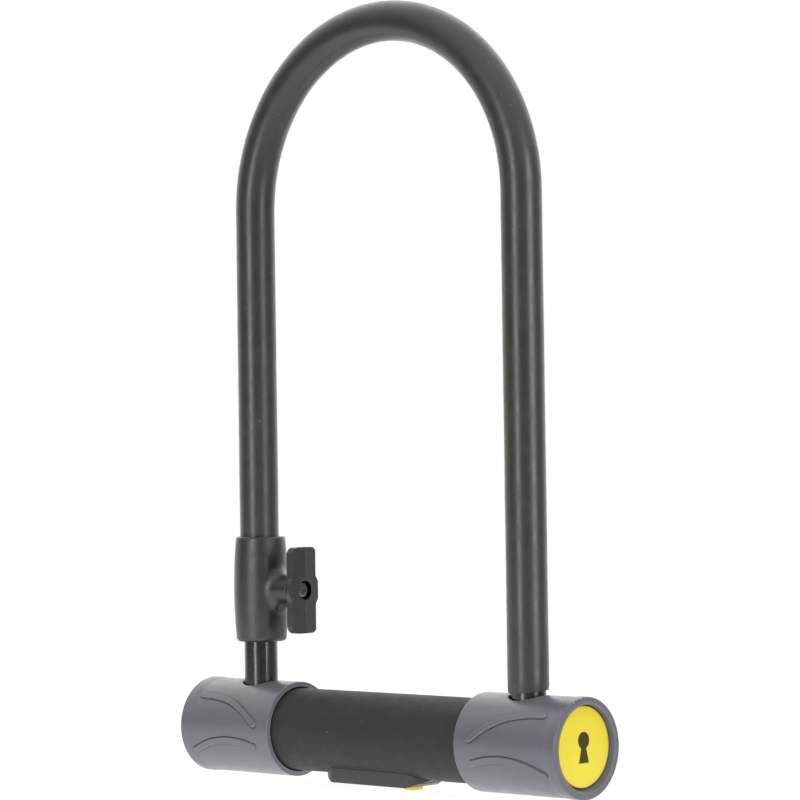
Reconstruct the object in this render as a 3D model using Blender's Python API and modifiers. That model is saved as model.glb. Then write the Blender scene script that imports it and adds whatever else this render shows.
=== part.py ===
"""Bicycle U lock, closed and unlocked, with a frame-bracket collar on its left leg.

X runs along the crossbar, -Y is the front and +Z is up. Heights in the constants are measured
from the crossbar's axis; the whole lock hangs from one empty that lifts this axis so that the
lowest piece, the nub of the dust cover, stands on Z = 0.
"""

import math

import bmesh
import bpy
from mathutils import Matrix, Vector

# Clearances
GAP = 0.0003  # between touching pieces
BORE_GAP = 0.0006  # round a leg in the tube

# Reach of the cutters
THROUGH = (-0.0200, 0.0200)  # right through the crossbar
FROM_BELOW = (-0.0200, -0.0050)  # from under the crossbar to inside the tube

# Shackle
LEG_X = 0.0645  # from the middle to a leg's centre line, and the arch's radius
ARCH_Z = 0.1896  # centre of the arch
FOOT_Z = -0.0086
FOOT_CHAMFER = 0.0008
BAR_R = 0.0061
SLEEVE_R = 0.00715
SLEEVE_WALL = SLEEVE_R - BAR_R - GAP
SLEEVE_END_RIGHT = 0.0182
SLEEVE_END_LEFT = 0.0460  # under the bracket collar
ARCH_STEPS = 24

# Crossbar
TUBE_R = 0.0136
TUBE_BORE_R = 0.0106
TUBE_HALF = 0.0840
COVER_R = 0.01486
COVER_HALF = 0.0537
CAP_R = 0.0174
CAP_INNER_X = 0.0449
CAP_OUTER_X = 0.0900
CAP_EDGE = 0.0015  # rounding of the outer rim
CAP_HOLE_R = 0.0068
DISH_MOUTH_R = 0.01455
DISH_FLOOR_R = 0.01435
DISH_FLOOR_X = 0.0870
BADGE_R = 0.01405
BADGE_THICK = 0.0011
RIB_R = 0.00115  # half the width of a raised rib
RIB_SINK = 0.00045  # how far a rib's centre line lies under the cap's surface
# Ribs as (distance from the middle, degrees above the front), inner end first
RIB_UPPER = [(0.052, 8.5), (0.058, 22.0), (0.066, 35.5), (0.075, 42.5), (0.083, 45.2)]
RIB_LOWER = [(0.053, -19.5), (0.060, -14.8), (0.068, -14.0), (0.076, -18.7), (0.0845, -30.0)]
RIB_STEPS = 3

# Pieces inside the tube
INSERT_R = TUBE_BORE_R - GAP
END_PLUG_X = (0.0770, 0.0837)
PIN_R = 0.0015
PIN_HALF = 0.0122
PIN_CHAMFER = 0.0003
END_PIN_X = 0.0805
PLUG_X = -0.0080  # the lock cylinder's upright axis
HOUSING_X = (-0.0210, 0.0050)
HOUSING_TOP = 0.0003
HOUSING_PIN = (-0.0175, -0.0040)  # X and height
PLUG_R = 0.0060
PLUG_Z = (-0.0116, 0.0002)
CHAMBER_R = 0.0049
CHAMBER_TOP = -0.0015
DISC_COUNT = 6
DISC_R = CHAMBER_R - GAP
DISC_THICK = 0.0011
DISC_PITCH = 0.00145
DISC_LOW = -0.0112
KEYHOLE_HALF = (0.0013, 0.0029)
SIDEBAR_HALF = 0.0006
SIDEBAR_Y = (0.00385, 0.00585)
SIDEBAR_Z = (-0.0108, -0.0029)
GROOVE_Y = (0.0050, 0.0074)  # the housing's groove for the sidebar
TANG_HALF = (0.0013, 0.0034)
CAM_R = 0.0097
CAM_Z = (0.0006, 0.0023)
FOLLOWER_R = 0.0009  # pin under each bolt, in a scroll of the cam
FOLLOWER_START = 0.0036  # its distance from the cylinder's axis when unlocked
BOLT_TRAVEL = 0.0042
CAM_TURN = 90.0
BOLT_HALF_Y = 0.0040
BOLT_Z = (0.0028, 0.0078)
BOLT_TIP_X = 0.0573
BOLT_INNER = 0.0020
BOLT_CHAMFER = 0.0004
GUIDE_X = (0.0300, 0.0500)
NOTCH_X = 0.0619  # how far the feet's notches reach
NOTCH_Z = (BOLT_Z[0] - 0.0005, BOLT_Z[1] + 0.0005)
DRILL_PLATE_R = 0.00635
DRILL_PLATE_Z = (-0.0133, -0.01195)
WINDOW_R = 0.0067

# Keyway shroud under the crossbar, and its sliding dust cover
SHROUD_X = (-0.0223, 0.0157)  # where its sides end and its pointed ends start
SHROUD_R = 0.0087  # half its width, and the length of an end
SHROUD_POINT = 1.45  # exponent of the ends' outline: 2 is round, 1 is a straight-sided point
SHROUD_BOTTOM = -0.0173
SHROUD_SLOPE = (0.0080, 0.0030)  # how far the ends rise: length, height
SHROUD_CHAMFER = 0.0008
SHROUD_TOP = -0.0090  # before the saddle is cut
SHROUD_LAP = 0.0011  # how far its edge lies over the cover's opening
FLOOR_TOP = -0.0159
CHANNEL_X = (-0.0240, 0.0194)
SLOT_X = (-0.0132, 0.01365)
SLOT_HALF = 0.0032
SLIDER_X = (-0.0136, 0.0190)
SLIDER_HALF = 0.0046
SLIDER_Z = (-0.0155, -0.0144)
SLIDER_WINDOW_X = (-0.0032, 0.0072)
NUB_X = (0.0080, 0.0133)
NUB_HALF = 0.0026
NUB_BOTTOM = -0.0189
NUB_ROUND = 0.0007
PEG_X = (-0.0265, 0.0215)
PEG_R = 0.0012
PEG_Z = (-0.0156, -0.0115)

# Frame bracket on the left leg
COLLAR_Z = (0.0315, 0.0700)
COLLAR_MID = 0.0506
COLLAR_X = -0.0640  # its outside stands off the leg's centre line, towards the tee
COLLAR_MID_R = 0.0100
COLLAR_BULGE = 0.00095
COLLAR_BORE_R = SLEEVE_R + GAP
RING_R = 0.0081
RING_Z = (0.0420, 0.0590)
NECK_R = 0.0053
NECK_FILLET = 0.0052  # between the neck and the collar
NECK_END_X = -0.0463
TEE_BOSS_X = -0.0460  # back of the tee's round boss, which meets the neck
TEE_BACK_X = -0.0445
TEE_EDGE_X = -0.0415
TEE_RIDGE_X = -0.0411
TEE_HALF = (0.0063, 0.0157)
TEE_CORNER = 0.0030
TEE_CHAMFER = 0.0006
HUB_R = 0.0076
HUB_BACK_X = -0.0441
HUB_CHAMFER = 0.0005
SCREW_HOLE_R = 0.00315
COUNTERBORE_X = -0.0450
WASHER_X = (-0.0447, -0.0442)
SCREW_HEAD_X = (-0.0439, -0.0423)
SCREW_HEAD_R = 0.0028
SCREW_R = 0.0015
SCREW_END_X = -0.0543
SOCKET = (0.0014, 0.0009)  # corner radius and depth of its hexagon
NUT_X = (-0.0536, -0.0512)
NUT_HALF = 0.00265

AXIS_Z = -NUB_BOTTOM
ROUND = 36  # sides of the crossbar's round pieces
SADDLE_ROUND = 38  # puts a flat, and not a corner, over the pegs
SMALL_ROUND = 24
TINY_ROUND = 16

# Materials: colour, roughness, metallic
MATERIALS = {
    "hardened_steel": ((0.12, 0.115, 0.11), 0.28, 1.0),
    "plated_steel": ((0.55, 0.55, 0.56), 0.25, 1.0),
    "brass": ((0.72, 0.53, 0.24), 0.3, 1.0),
    "sleeve_vinyl": ((0.022, 0.022, 0.024), 0.5, 0.0),
    "cover_vinyl": ((0.018, 0.018, 0.019), 0.6, 0.0),
    "cap_rubber": ((0.15, 0.145, 0.165), 0.5, 0.0),
    "yellow_plastic": ((0.85, 0.6, 0.02), 0.4, 0.0),
    "dark_plastic": ((0.014, 0.014, 0.016), 0.4, 0.0),
    "soft_rubber": ((0.03, 0.03, 0.03), 0.8, 0.0),
}


def clear_scene():
    for old in list(bpy.data.objects):
        bpy.data.objects.remove(old)


def new_collection(name):
    made = bpy.data.collections.new(name)
    bpy.context.scene.collection.children.link(made)
    return made


clear_scene()
PARTS = new_collection("u_lock")
TOOLS = new_collection("cutters")


def make_material(name, kind):
    colour, roughness, metallic = MATERIALS[kind]
    made = bpy.data.materials.new(name)
    made.use_nodes = True
    shader = made.node_tree.nodes["Principled BSDF"]
    shader.inputs["Base Color"].default_value = (*colour, 1.0)
    shader.inputs["Roughness"].default_value = roughness
    shader.inputs["Metallic"].default_value = metallic
    made.diffuse_color = (*colour, 1.0)
    return made


# ---- Basic shapes, each made at its place relative to the crossbar's axis ----


def from_bmesh(name, bm, place=None):
    mesh = bpy.data.meshes.new(name)
    bm.to_mesh(mesh)
    bm.free()
    obj = bpy.data.objects.new(name, mesh)
    if place is not None:
        obj.matrix_basis = place
    TOOLS.objects.link(obj)
    obj.hide_render = True
    obj.display_type = "WIRE"
    return obj


def axis_matrix(axis, centre=(0.0, 0.0, 0.0)):
    """Places a shape whose own axis is Z along X, Y or Z."""
    turns = {
        "X": Matrix.Rotation(math.radians(90), 4, "Y"),
        "Y": Matrix.Rotation(math.radians(-90), 4, "X"),
        "Z": Matrix.Identity(4),
    }
    return Matrix.Translation(Vector(centre)) @ turns[axis]


def cylinder(name, radius, span, axis, centre=(0.0, 0.0, 0.0), sides=SMALL_ROUND):
    """A round bar along axis, from span[0] to span[1] on that axis."""
    low, high = span
    bm = bmesh.new()
    bmesh.ops.create_cone(
        bm, cap_ends=True, segments=sides, radius1=radius, radius2=radius, depth=high - low
    )
    bmesh.ops.translate(bm, verts=bm.verts, vec=(0, 0, (low + high) / 2))
    return from_bmesh(name, bm, axis_matrix(axis, centre))


def box(name, span_x, span_y, span_z):
    size = [high - low for low, high in (span_x, span_y, span_z)]
    middle = [(high + low) / 2 for low, high in (span_x, span_y, span_z)]
    bm = bmesh.new()
    bmesh.ops.create_cube(bm, size=1.0)
    bmesh.ops.scale(bm, verts=bm.verts, vec=size)
    return from_bmesh(name, bm, Matrix.Translation(middle))


def turned(name, profile, axis, centre=(0.0, 0.0, 0.0), sides=ROUND, ring=False):
    """Turns (height, radius) points, top to bottom down the outer side, about axis."""
    bm = bmesh.new()
    points = [bm.verts.new((radius, 0, height)) for height, radius in profile]
    pairs = list(zip(points, points[1:]))
    if ring:
        pairs.append((points[-1], points[0]))
    for pair in pairs:
        bm.edges.new(pair)
    obj = from_bmesh(name, bm, axis_matrix(axis, centre))
    screw = obj.modifiers.new("turn", "SCREW")
    screw.steps = screw.render_steps = sides
    screw.use_merge_vertices = True
    screw.merge_threshold = 0.00001
    return obj


def arc(centre, radius, start, end, steps):
    """Points (height, radius) on an arc in a turned profile; degrees from the radial direction."""
    found = []
    for i in range(steps + 1):
        angle = math.radians(start + (end - start) * i / steps)
        found.append((centre[0] + radius * math.sin(angle), centre[1] + radius * math.cos(angle)))
    return found


def swap_for_mesh(curve):
    """Replaces a curve object by the mesh it makes, with its caps welded on."""
    bpy.context.view_layer.update()
    evaluated = curve.evaluated_get(bpy.context.evaluated_depsgraph_get())
    mesh = bpy.data.meshes.new_from_object(evaluated)
    bm = bmesh.new()
    bm.from_mesh(mesh)
    bmesh.ops.remove_doubles(bm, verts=bm.verts, dist=0.00001)
    bmesh.ops.dissolve_limit(bm, angle_limit=math.radians(0.5), verts=bm.verts, edges=bm.edges)
    bmesh.ops.recalc_face_normals(bm, faces=bm.faces)
    name, place = curve.name, curve.matrix_world.copy()
    bpy.data.objects.remove(curve)
    return from_bmesh(name, bm, place)


def tube_along(name, points, radius, resolution, capped=True):
    """A round bar along a line of points."""
    data = bpy.data.curves.new(name, "CURVE")
    data.dimensions = "3D"
    data.bevel_depth = radius
    data.bevel_resolution = resolution
    data.use_fill_caps = capped
    spline = data.splines.new("POLY")
    spline.points.add(len(points) - 1)
    for target, point in zip(spline.points, points):
        target.co = (*point, 1.0)
    curve = bpy.data.objects.new(name, data)
    TOOLS.objects.link(curve)
    return swap_for_mesh(curve)


def prism(name, outline, span, place=None):
    """A flat outline, raised from span[0] to span[1] along its own Z."""
    data = bpy.data.curves.new(name, "CURVE")
    data.dimensions = "2D"
    data.fill_mode = "BOTH"
    data.extrude = (span[1] - span[0]) / 2
    spline = data.splines.new("POLY")
    spline.points.add(len(outline) - 1)
    for target, point in zip(spline.points, outline):
        target.co = (*point, 0.0, 1.0)
    spline.use_cyclic_u = True
    curve = bpy.data.objects.new(name, data)
    curve.matrix_basis = (place or Matrix.Identity(4)) @ Matrix.Translation((0, 0, sum(span) / 2))
    TOOLS.objects.link(curve)
    return swap_for_mesh(curve)


def rounded_outline(half_x, half_y, radius, centre=(0.0, 0.0), steps=5):
    """Corners of a rectangle with round corners, in order."""
    found = []
    for quarter, (side_x, side_y) in enumerate([(1, 1), (-1, 1), (-1, -1), (1, -1)]):
        for i in range(steps + 1):
            angle = math.radians(90 * (quarter + i / steps))
            x = centre[0] + side_x * (half_x - radius) + radius * math.cos(angle)
            y = centre[1] + side_y * (half_y - radius) + radius * math.sin(angle)
            found.append((x, y))
    return found


def pointed_bar(span_x, radius, steps=8):
    """A bar whose ends run to a blunt point, as the ends of a superellipse do."""
    power = 2 / SHROUD_POINT
    found = []
    for centre, start in ((span_x[1], -90), (span_x[0], 90)):
        for i in range(steps + 1):
            angle = math.radians(start + 180 * i / steps)
            along, across = math.cos(angle), math.sin(angle)
            x = centre + radius * math.copysign(abs(along) ** power, along)
            found.append((x, radius * math.copysign(abs(across) ** power, across)))
    return found


# ---- Changes to a shape ----


def combine(obj, other, operation):
    change = obj.modifiers.new(f"{operation.lower()} {other.name}", "BOOLEAN")
    change.operation = operation
    change.solver = "EXACT"
    change.object = other


def cut(obj, *cutters):
    for cutter in cutters:
        combine(obj, cutter, "DIFFERENCE")


def join(obj, *others):
    for other in others:
        combine(obj, other, "UNION")


def bevel(obj, width, segments=1, angle=40.0):
    change = obj.modifiers.new("edges", "BEVEL")
    change.width = width
    change.segments = segments
    change.limit_method = "ANGLE"
    change.angle_limit = math.radians(angle)
    change.use_clamp_overlap = True


# ---- The joints' empties, and placing a finished piece ----


def empty(name, location, parent=None):
    """An empty at a place relative to the crossbar's axis."""
    made = bpy.data.objects.new(name, None)
    made.empty_display_size = 0.01
    PARTS.objects.link(made)
    if parent is not None:
        made.parent = parent
        made.matrix_parent_inverse = inverse_place(parent)
    made.location = location
    bpy.context.view_layer.update()
    return made


def inverse_place(parent):
    """Undoes a parent's place, so that a child keeps its coordinates from the axis."""
    return (FRAME.matrix_world.inverted() @ parent.matrix_world).inverted()


FRAME = bpy.data.objects.new("crossbar_axis", None)
PARTS.objects.link(FRAME)
FRAME.location = (0, 0, AXIS_Z)
bpy.context.view_layer.update()

SHACKLE = empty("shackle_lift", (0, 0, 0), FRAME)
PLUG = empty("plug_turn", (PLUG_X, 0, 0), FRAME)
BOLT_RIGHT = empty("bolt_right_slide", (PLUG_X, 0, 0), FRAME)
BOLT_LEFT = empty("bolt_left_slide", (PLUG_X, 0, 0), FRAME)
SLIDER = empty("cover_slide", (sum(NUB_X) / 2, 0, NUB_BOTTOM), FRAME)
BRACKET = empty("bracket_slide", (-LEG_X, 0, COLLAR_MID), SHACKLE)
SWIVEL = empty("bracket_swivel", (-LEG_X, 0, COLLAR_MID), BRACKET)
TEE = empty("tee_turn", (TEE_BACK_X, 0, COLLAR_MID), SWIVEL)


def finish(obj, kind, parent=None):
    """Makes a shape a piece of the lock: its material, its shading and its parent."""
    TOOLS.objects.unlink(obj)
    PARTS.objects.link(obj)
    obj.hide_render = False
    obj.display_type = "TEXTURED"
    obj.data.materials.clear()
    obj.data.materials.append(make_material(obj.name, kind))
    if obj.data.polygons:
        obj.data.shade_smooth()
        obj.data.set_sharp_from_angle(angle=math.radians(35))
    parent = parent or FRAME
    place = obj.matrix_basis.copy()
    obj.parent = parent
    obj.matrix_parent_inverse = inverse_place(parent)
    obj.matrix_basis = place
    return obj


def helper(obj):
    """Lifts a cutter into the crossbar's frame, like the pieces that it cuts."""
    obj.parent = FRAME
    return obj


def turn_round(obj):
    """Moves a shape made for the right end to the left end."""
    obj.matrix_basis = Matrix.Rotation(math.pi, 4, "Z") @ obj.matrix_basis
    return obj


def both_ends(make):
    """Makes a piece for the right end and its twin for the left."""
    for side in ("right", "left"):
        make(side, turn_round if side == "left" else lambda obj: obj)


# ---- Shackle ----


def shackle_path(left_end, right_end):
    """Points up the left leg, over the half-round arch and down the right leg."""
    points = [(-LEG_X, 0, left_end)]
    for i in range(ARCH_STEPS + 1):
        angle = math.pi * (1 - i / ARCH_STEPS)
        points.append((LEG_X * math.cos(angle), 0, ARCH_Z + LEG_X * math.sin(angle)))
    points.append((LEG_X, 0, right_end))
    return points


def make_shackle():
    bar = tube_along("shackle_bar", shackle_path(FOOT_Z, FOOT_Z), BAR_R, 6)
    bevel(bar, FOOT_CHAMFER, angle=60)
    reach = BAR_R + 0.001
    for side, sign in (("left", -1), ("right", 1)):
        span = sorted((sign * (LEG_X - reach), sign * NOTCH_X))
        cut(bar, helper(box(f"notch_{side}", span, (-reach, reach), NOTCH_Z)))
    finish(bar, "hardened_steel", SHACKLE)

    path = shackle_path(SLEEVE_END_LEFT, SLEEVE_END_RIGHT)
    sleeve = tube_along("shackle_sleeve", path, SLEEVE_R, 6, capped=False)
    wall = sleeve.modifiers.new("wall", "SOLIDIFY")
    wall.thickness = SLEEVE_WALL
    wall.offset = -1
    wall.use_even_offset = True
    finish(sleeve, "sleeve_vinyl", SHACKLE)


# ---- Crossbar ----


def make_tube():
    profile = [
        (TUBE_HALF, TUBE_R),
        (-TUBE_HALF, TUBE_R),
        (-TUBE_HALF, TUBE_BORE_R),
        (TUBE_HALF, TUBE_BORE_R),
    ]
    tube = turned("crossbar_tube", profile, "X", ring=True)
    for side, sign in (("left", -1), ("right", 1)):
        leg = cylinder(
            f"leg_hole_{side}", BAR_R + BORE_GAP, (0, 0.02), "Z", (sign * LEG_X, 0, 0)
        )
        pin = cylinder(
            f"end_pin_hole_{side}", PIN_R + GAP, THROUGH, "Y", (sign * END_PIN_X, 0, 0), TINY_ROUND
        )
        cut(tube, helper(leg), helper(pin))
    cut(
        tube,
        helper(cylinder("key_window", WINDOW_R, FROM_BELOW, "Z", (PLUG_X, 0, 0))),
        helper(housing_pin_hole("tube_housing_pin_hole")),
    )
    for number, x in enumerate(PEG_X):
        span = (THROUGH[0], PEG_Z[1] + GAP)
        hole = cylinder(f"peg_socket_{number}", PEG_R + GAP, span, "Z", (x, 0, 0), TINY_ROUND)
        cut(tube, helper(hole))
    finish(tube, "hardened_steel")


def housing_pin_hole(name):
    x, z = HOUSING_PIN
    return cylinder(name, PIN_R + GAP, THROUGH, "Y", (x, 0, z), TINY_ROUND)


def make_cover():
    inner = TUBE_R + GAP
    profile = [
        (COVER_HALF, COVER_R),
        (-COVER_HALF, COVER_R),
        (-COVER_HALF, inner),
        (COVER_HALF, inner),
    ]
    cover = turned("crossbar_cover", profile, "X", ring=True)
    outline = pointed_bar(SHROUD_X, SHROUD_R - SHROUD_LAP)
    cut(cover, helper(prism("cover_opening", outline, FROM_BELOW)))
    finish(cover, "cover_vinyl")


def smooth_line(points, steps):
    """More points on the smooth (Catmull-Rom) line through points."""
    ends = [2 * points[0] - points[1], *points, 2 * points[-1] - points[-2]]
    found = []
    for before, start, end, after in zip(ends, ends[1:], ends[2:], ends[3:]):
        for i in range(steps):
            t = i / steps
            found.append(
                start
                + (end - before) * (t / 2)
                + (2 * before - 5 * start + 4 * end - after) * (t * t / 2)
                + (3 * start - before - 3 * end + after) * (t**3 / 2)
            )
    return [*found, points[-1]]


def make_rib(name, line, side):
    """One raised rib, wrapped round the cap at its front (side -1) or back (side 1)."""
    points = smooth_line([Vector(point) for point in line], RIB_STEPS)
    radius = CAP_R - RIB_SINK
    route = []
    for x, degrees in points:
        angle = math.radians(degrees)
        route.append((x, side * radius * math.cos(angle), radius * math.sin(angle)))
    return tube_along(name, route, RIB_R, 2)


def cap_profile():
    """The cap's section, from the dish's middle out over the rim and back up the bore."""
    cover_bore = COVER_R + GAP
    tube_bore = TUBE_R + GAP
    rim = (CAP_OUTER_X - CAP_EDGE, CAP_R - CAP_EDGE)
    inner_edge = 0.0008
    inner_rim = (CAP_INNER_X + inner_edge, CAP_R - inner_edge)
    return [
        (DISH_FLOOR_X, 0),
        (DISH_FLOOR_X, DISH_FLOOR_R),
        (CAP_OUTER_X - 0.0005, DISH_MOUTH_R),
        *arc(rim, CAP_EDGE, 90, 0, 3),
        *arc(inner_rim, inner_edge, 0, -90, 2),
        (CAP_INNER_X, cover_bore),
        (COVER_HALF + 0.0008, cover_bore),
        (COVER_HALF + 0.0008, tube_bore),
        (TUBE_HALF + GAP, tube_bore),
        (TUBE_HALF + GAP, 0),
    ]


def make_cap(side, placed):
    cap = placed(turned(f"end_cap_{side}", cap_profile(), "X"))
    hole = cylinder(f"cap_leg_hole_{side}", CAP_HOLE_R, (0, 0.025), "Z", (LEG_X, 0, 0))
    cut(cap, helper(placed(hole)))
    for face, sign in (("front", -1), ("back", 1)):
        for level, line in (("upper", RIB_UPPER), ("lower", RIB_LOWER)):
            rib = make_rib(f"rib_{side}_{face}_{level}", line, sign)
            join(cap, helper(placed(rib)))
    finish(cap, "cap_rubber")


def make_badge(side, placed):
    low = DISH_FLOOR_X + GAP
    badge = cylinder(f"badge_disc_{side}", BADGE_R, (low, low + BADGE_THICK), "X", sides=ROUND)
    finish(placed(badge), "yellow_plastic")


def make_end_plug(side, placed):
    plug = placed(cylinder(f"end_plug_{side}", INSERT_R, END_PLUG_X, "X", sides=ROUND))
    centre = (END_PIN_X, 0, 0)
    hole = cylinder(f"end_plug_hole_{side}", PIN_R + GAP, THROUGH, "Y", centre, TINY_ROUND)
    cut(plug, helper(placed(hole)))
    finish(plug, "hardened_steel")
    pin = cylinder(
        f"end_plug_pin_{side}", PIN_R, (-PIN_HALF, PIN_HALF), "Y", centre, TINY_ROUND
    )
    bevel(pin, PIN_CHAMFER)
    finish(placed(pin), "plated_steel")


def make_bolt_guide(side, placed):
    guide = placed(cylinder(f"bolt_guide_{side}", INSERT_R, GUIDE_X, "X", sides=ROUND))
    reach = BOLT_HALF_Y + GAP
    low, high = BOLT_Z[0] - GAP, BOLT_Z[1] + GAP
    channel = box(f"guide_channel_{side}", (0.025, 0.055), (-reach, reach), (low, high))
    cut(guide, helper(placed(channel)))
    finish(guide, "dark_plastic")


# ---- Lock cylinder, cam and bolts ----


def make_housing():
    housing = cylinder("lock_housing", INSERT_R, HOUSING_X, "X", sides=ROUND)
    x, z = HOUSING_PIN
    groove_half = SIDEBAR_HALF + GAP
    cut(
        housing,
        helper(box("housing_top", (-0.03, 0.02), THROUGH, (HOUSING_TOP, THROUGH[1]))),
        helper(cylinder("plug_bore", PLUG_R + GAP, THROUGH, "Z", (PLUG_X, 0, 0))),
        helper(
            box(
                "sidebar_groove",
                (PLUG_X - groove_half, PLUG_X + groove_half),
                GROOVE_Y,
                THROUGH,
            )
        ),
        helper(housing_pin_hole("housing_pin_hole")),
    )
    finish(housing, "brass")
    pin = cylinder("housing_pin", PIN_R, (-PIN_HALF, PIN_HALF), "Y", (x, 0, z), TINY_ROUND)
    bevel(pin, PIN_CHAMFER)
    finish(pin, "plated_steel")


def keyhole(name, span_z):
    half_x, half_y = KEYHOLE_HALF
    return helper(box(name, (PLUG_X - half_x, PLUG_X + half_x), (-half_y, half_y), span_z))


def make_drill_plate():
    plate = cylinder("anti_drill_plate", DRILL_PLATE_R, DRILL_PLATE_Z, "Z", (PLUG_X, 0, 0))
    cut(plate, keyhole("plate_keyhole", FROM_BELOW))
    finish(plate, "hardened_steel")


def make_plug():
    plug = cylinder("cylinder_plug", PLUG_R, PLUG_Z, "Z", (PLUG_X, 0, 0))
    half_x, half_y = TANG_HALF
    tang = box("tang", (PLUG_X - half_x, PLUG_X + half_x), (-half_y, half_y), (-0.001, CAM_Z[1]))
    join(plug, helper(tang))
    slot_half = SIDEBAR_HALF + GAP
    cut(
        plug,
        helper(cylinder("chamber", CHAMBER_R, (THROUGH[0], CHAMBER_TOP), "Z", (PLUG_X, 0, 0))),
        helper(
            box(
                "sidebar_slot",
                (PLUG_X - slot_half, PLUG_X + slot_half),
                (0.003, 0.008),
                (SIDEBAR_Z[0] - GAP, SIDEBAR_Z[1] + GAP),
            )
        ),
    )
    finish(plug, "brass", PLUG)


def make_discs():
    notch_half = SIDEBAR_HALF + GAP
    span_x = (PLUG_X - notch_half, PLUG_X + notch_half)
    notch = helper(box("disc_notch", span_x, (SIDEBAR_Y[0] - GAP, 0.006), THROUGH))
    hole = keyhole("disc_keyhole", THROUGH)
    for number in range(DISC_COUNT):
        low = DISC_LOW + number * DISC_PITCH
        span = (low, low + DISC_THICK)
        disc = cylinder(f"detainer_disc_{number + 1}", DISC_R, span, "Z", (PLUG_X, 0, 0))
        cut(disc, hole, notch)
        finish(disc, "plated_steel", PLUG)


def make_sidebar():
    span_x = (PLUG_X - SIDEBAR_HALF, PLUG_X + SIDEBAR_HALF)
    finish(box("sidebar", span_x, SIDEBAR_Y, SIDEBAR_Z), "plated_steel", PLUG)


def scroll_outline(half_width, steps=12, end_steps=4):
    """A spiral slot: its middle line moves out by the bolt's travel in the cam's quarter turn."""
    over = 3.0  # degrees past each end of the follower's way

    def middle(turn):
        radius = FOLLOWER_START + BOLT_TRAVEL * turn / CAM_TURN
        angle = math.radians(-turn)
        return Vector((radius * math.cos(angle), radius * math.sin(angle)))

    turns = [-over + (CAM_TURN + 2 * over) * i / steps for i in range(steps + 1)]
    line = [middle(turn) for turn in turns]
    ways = [(middle(turn + 0.5) - middle(turn - 0.5)).normalized() for turn in turns]
    outline = [p + half_width * Vector((-w.y, w.x)) for p, w in zip(line, ways)]
    outline += round_end(line[-1], ways[-1], half_width, end_steps)
    outline += [p - half_width * Vector((-w.y, w.x)) for p, w in zip(line, ways)][::-1]
    outline += round_end(line[0], -ways[0], half_width, end_steps)
    return [(point.x, point.y) for point in outline]


def round_end(centre, way, radius, steps):
    """Points of a half circle from the left of way to its right, without both ends."""
    side = Vector((-way.y, way.x))
    found = []
    for i in range(1, steps):
        angle = math.pi * i / steps
        found.append(centre + radius * (side * math.cos(angle) + way * math.sin(angle)))
    return found


def make_cam():
    cam = cylinder("scroll_cam", CAM_R, CAM_Z, "Z", (PLUG_X, 0, 0), ROUND)
    half_x, half_y = TANG_HALF[0] + GAP, TANG_HALF[1] + GAP
    through = (-0.001, 0.005)
    cut(
        cam,
        helper(
            box("tang_hole", (PLUG_X - half_x, PLUG_X + half_x), (-half_y, half_y), through)
        ),
    )
    for name, turn in (("right", 0.0), ("left", math.pi)):
        place = Matrix.Translation((PLUG_X, 0, 0)) @ Matrix.Rotation(turn, 4, "Z")
        slot = prism(f"scroll_{name}", scroll_outline(FOLLOWER_R + GAP), through, place)
        cut(cam, helper(slot))
    finish(cam, "hardened_steel", PLUG)


def make_bolt(name, sign, parent):
    """A flat bolt from the cam out to a leg, with its follower pin underneath."""
    tip = sign * BOLT_TIP_X
    inner = PLUG_X + sign * BOLT_INNER
    span = sorted((tip, inner))
    bolt = box(name, span, (-BOLT_HALF_Y, BOLT_HALF_Y), BOLT_Z)
    bevel(bolt, BOLT_CHAMFER)
    pin_x = PLUG_X + sign * FOLLOWER_START
    pin_span = (CAM_Z[0] + 0.0004, BOLT_Z[0] + 0.001)
    pin = cylinder(f"{name}_follower", FOLLOWER_R, pin_span, "Z", (pin_x, 0, 0), TINY_ROUND)
    join(bolt, helper(pin))
    finish(bolt, "hardened_steel", parent)


# ---- Keyway shroud and dust cover ----


def shroud_side():
    """The shroud seen from the front: a flat bottom whose two ends rise."""
    run, rise = SHROUD_SLOPE
    low_x, high_x = SHROUD_X[0] - SHROUD_R, SHROUD_X[1] + SHROUD_R
    top, beyond = -0.005, 0.001
    rise_beyond = rise * (1 + beyond / run)
    return [
        (low_x - beyond, top),
        (low_x - beyond, SHROUD_BOTTOM + rise_beyond),
        (low_x + run, SHROUD_BOTTOM),
        (high_x - run, SHROUD_BOTTOM),
        (high_x + beyond, SHROUD_BOTTOM + rise_beyond),
        (high_x + beyond, top),
    ]


def make_shroud():
    outline = pointed_bar(SHROUD_X, SHROUD_R)
    shroud = prism("keyway_shroud", outline, (SHROUD_BOTTOM - 0.001, SHROUD_TOP))
    upright = Matrix.Rotation(math.radians(90), 4, "X")
    side = prism("shroud_side", shroud_side(), (-0.012, 0.012), upright)
    combine(shroud, helper(side), "INTERSECT")
    bevel(shroud, SHROUD_CHAMFER)
    channel_half = SLIDER_HALF + GAP
    cut(
        shroud,
        helper(cylinder("cover_saddle", COVER_R + GAP, (-0.05, 0.05), "X", sides=SADDLE_ROUND)),
        helper(
            box("channel", CHANNEL_X, (-channel_half, channel_half), (FLOOR_TOP, FROM_BELOW[1]))
        ),
        helper(box("nub_slot", SLOT_X, (-SLOT_HALF, SLOT_HALF), FROM_BELOW)),
    )
    for number, x in enumerate(PEG_X):
        peg = cylinder(f"peg_{number}", PEG_R, PEG_Z, "Z", (x, 0, 0), TINY_ROUND)
        join(shroud, helper(peg))
    finish(shroud, "dark_plastic")


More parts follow.
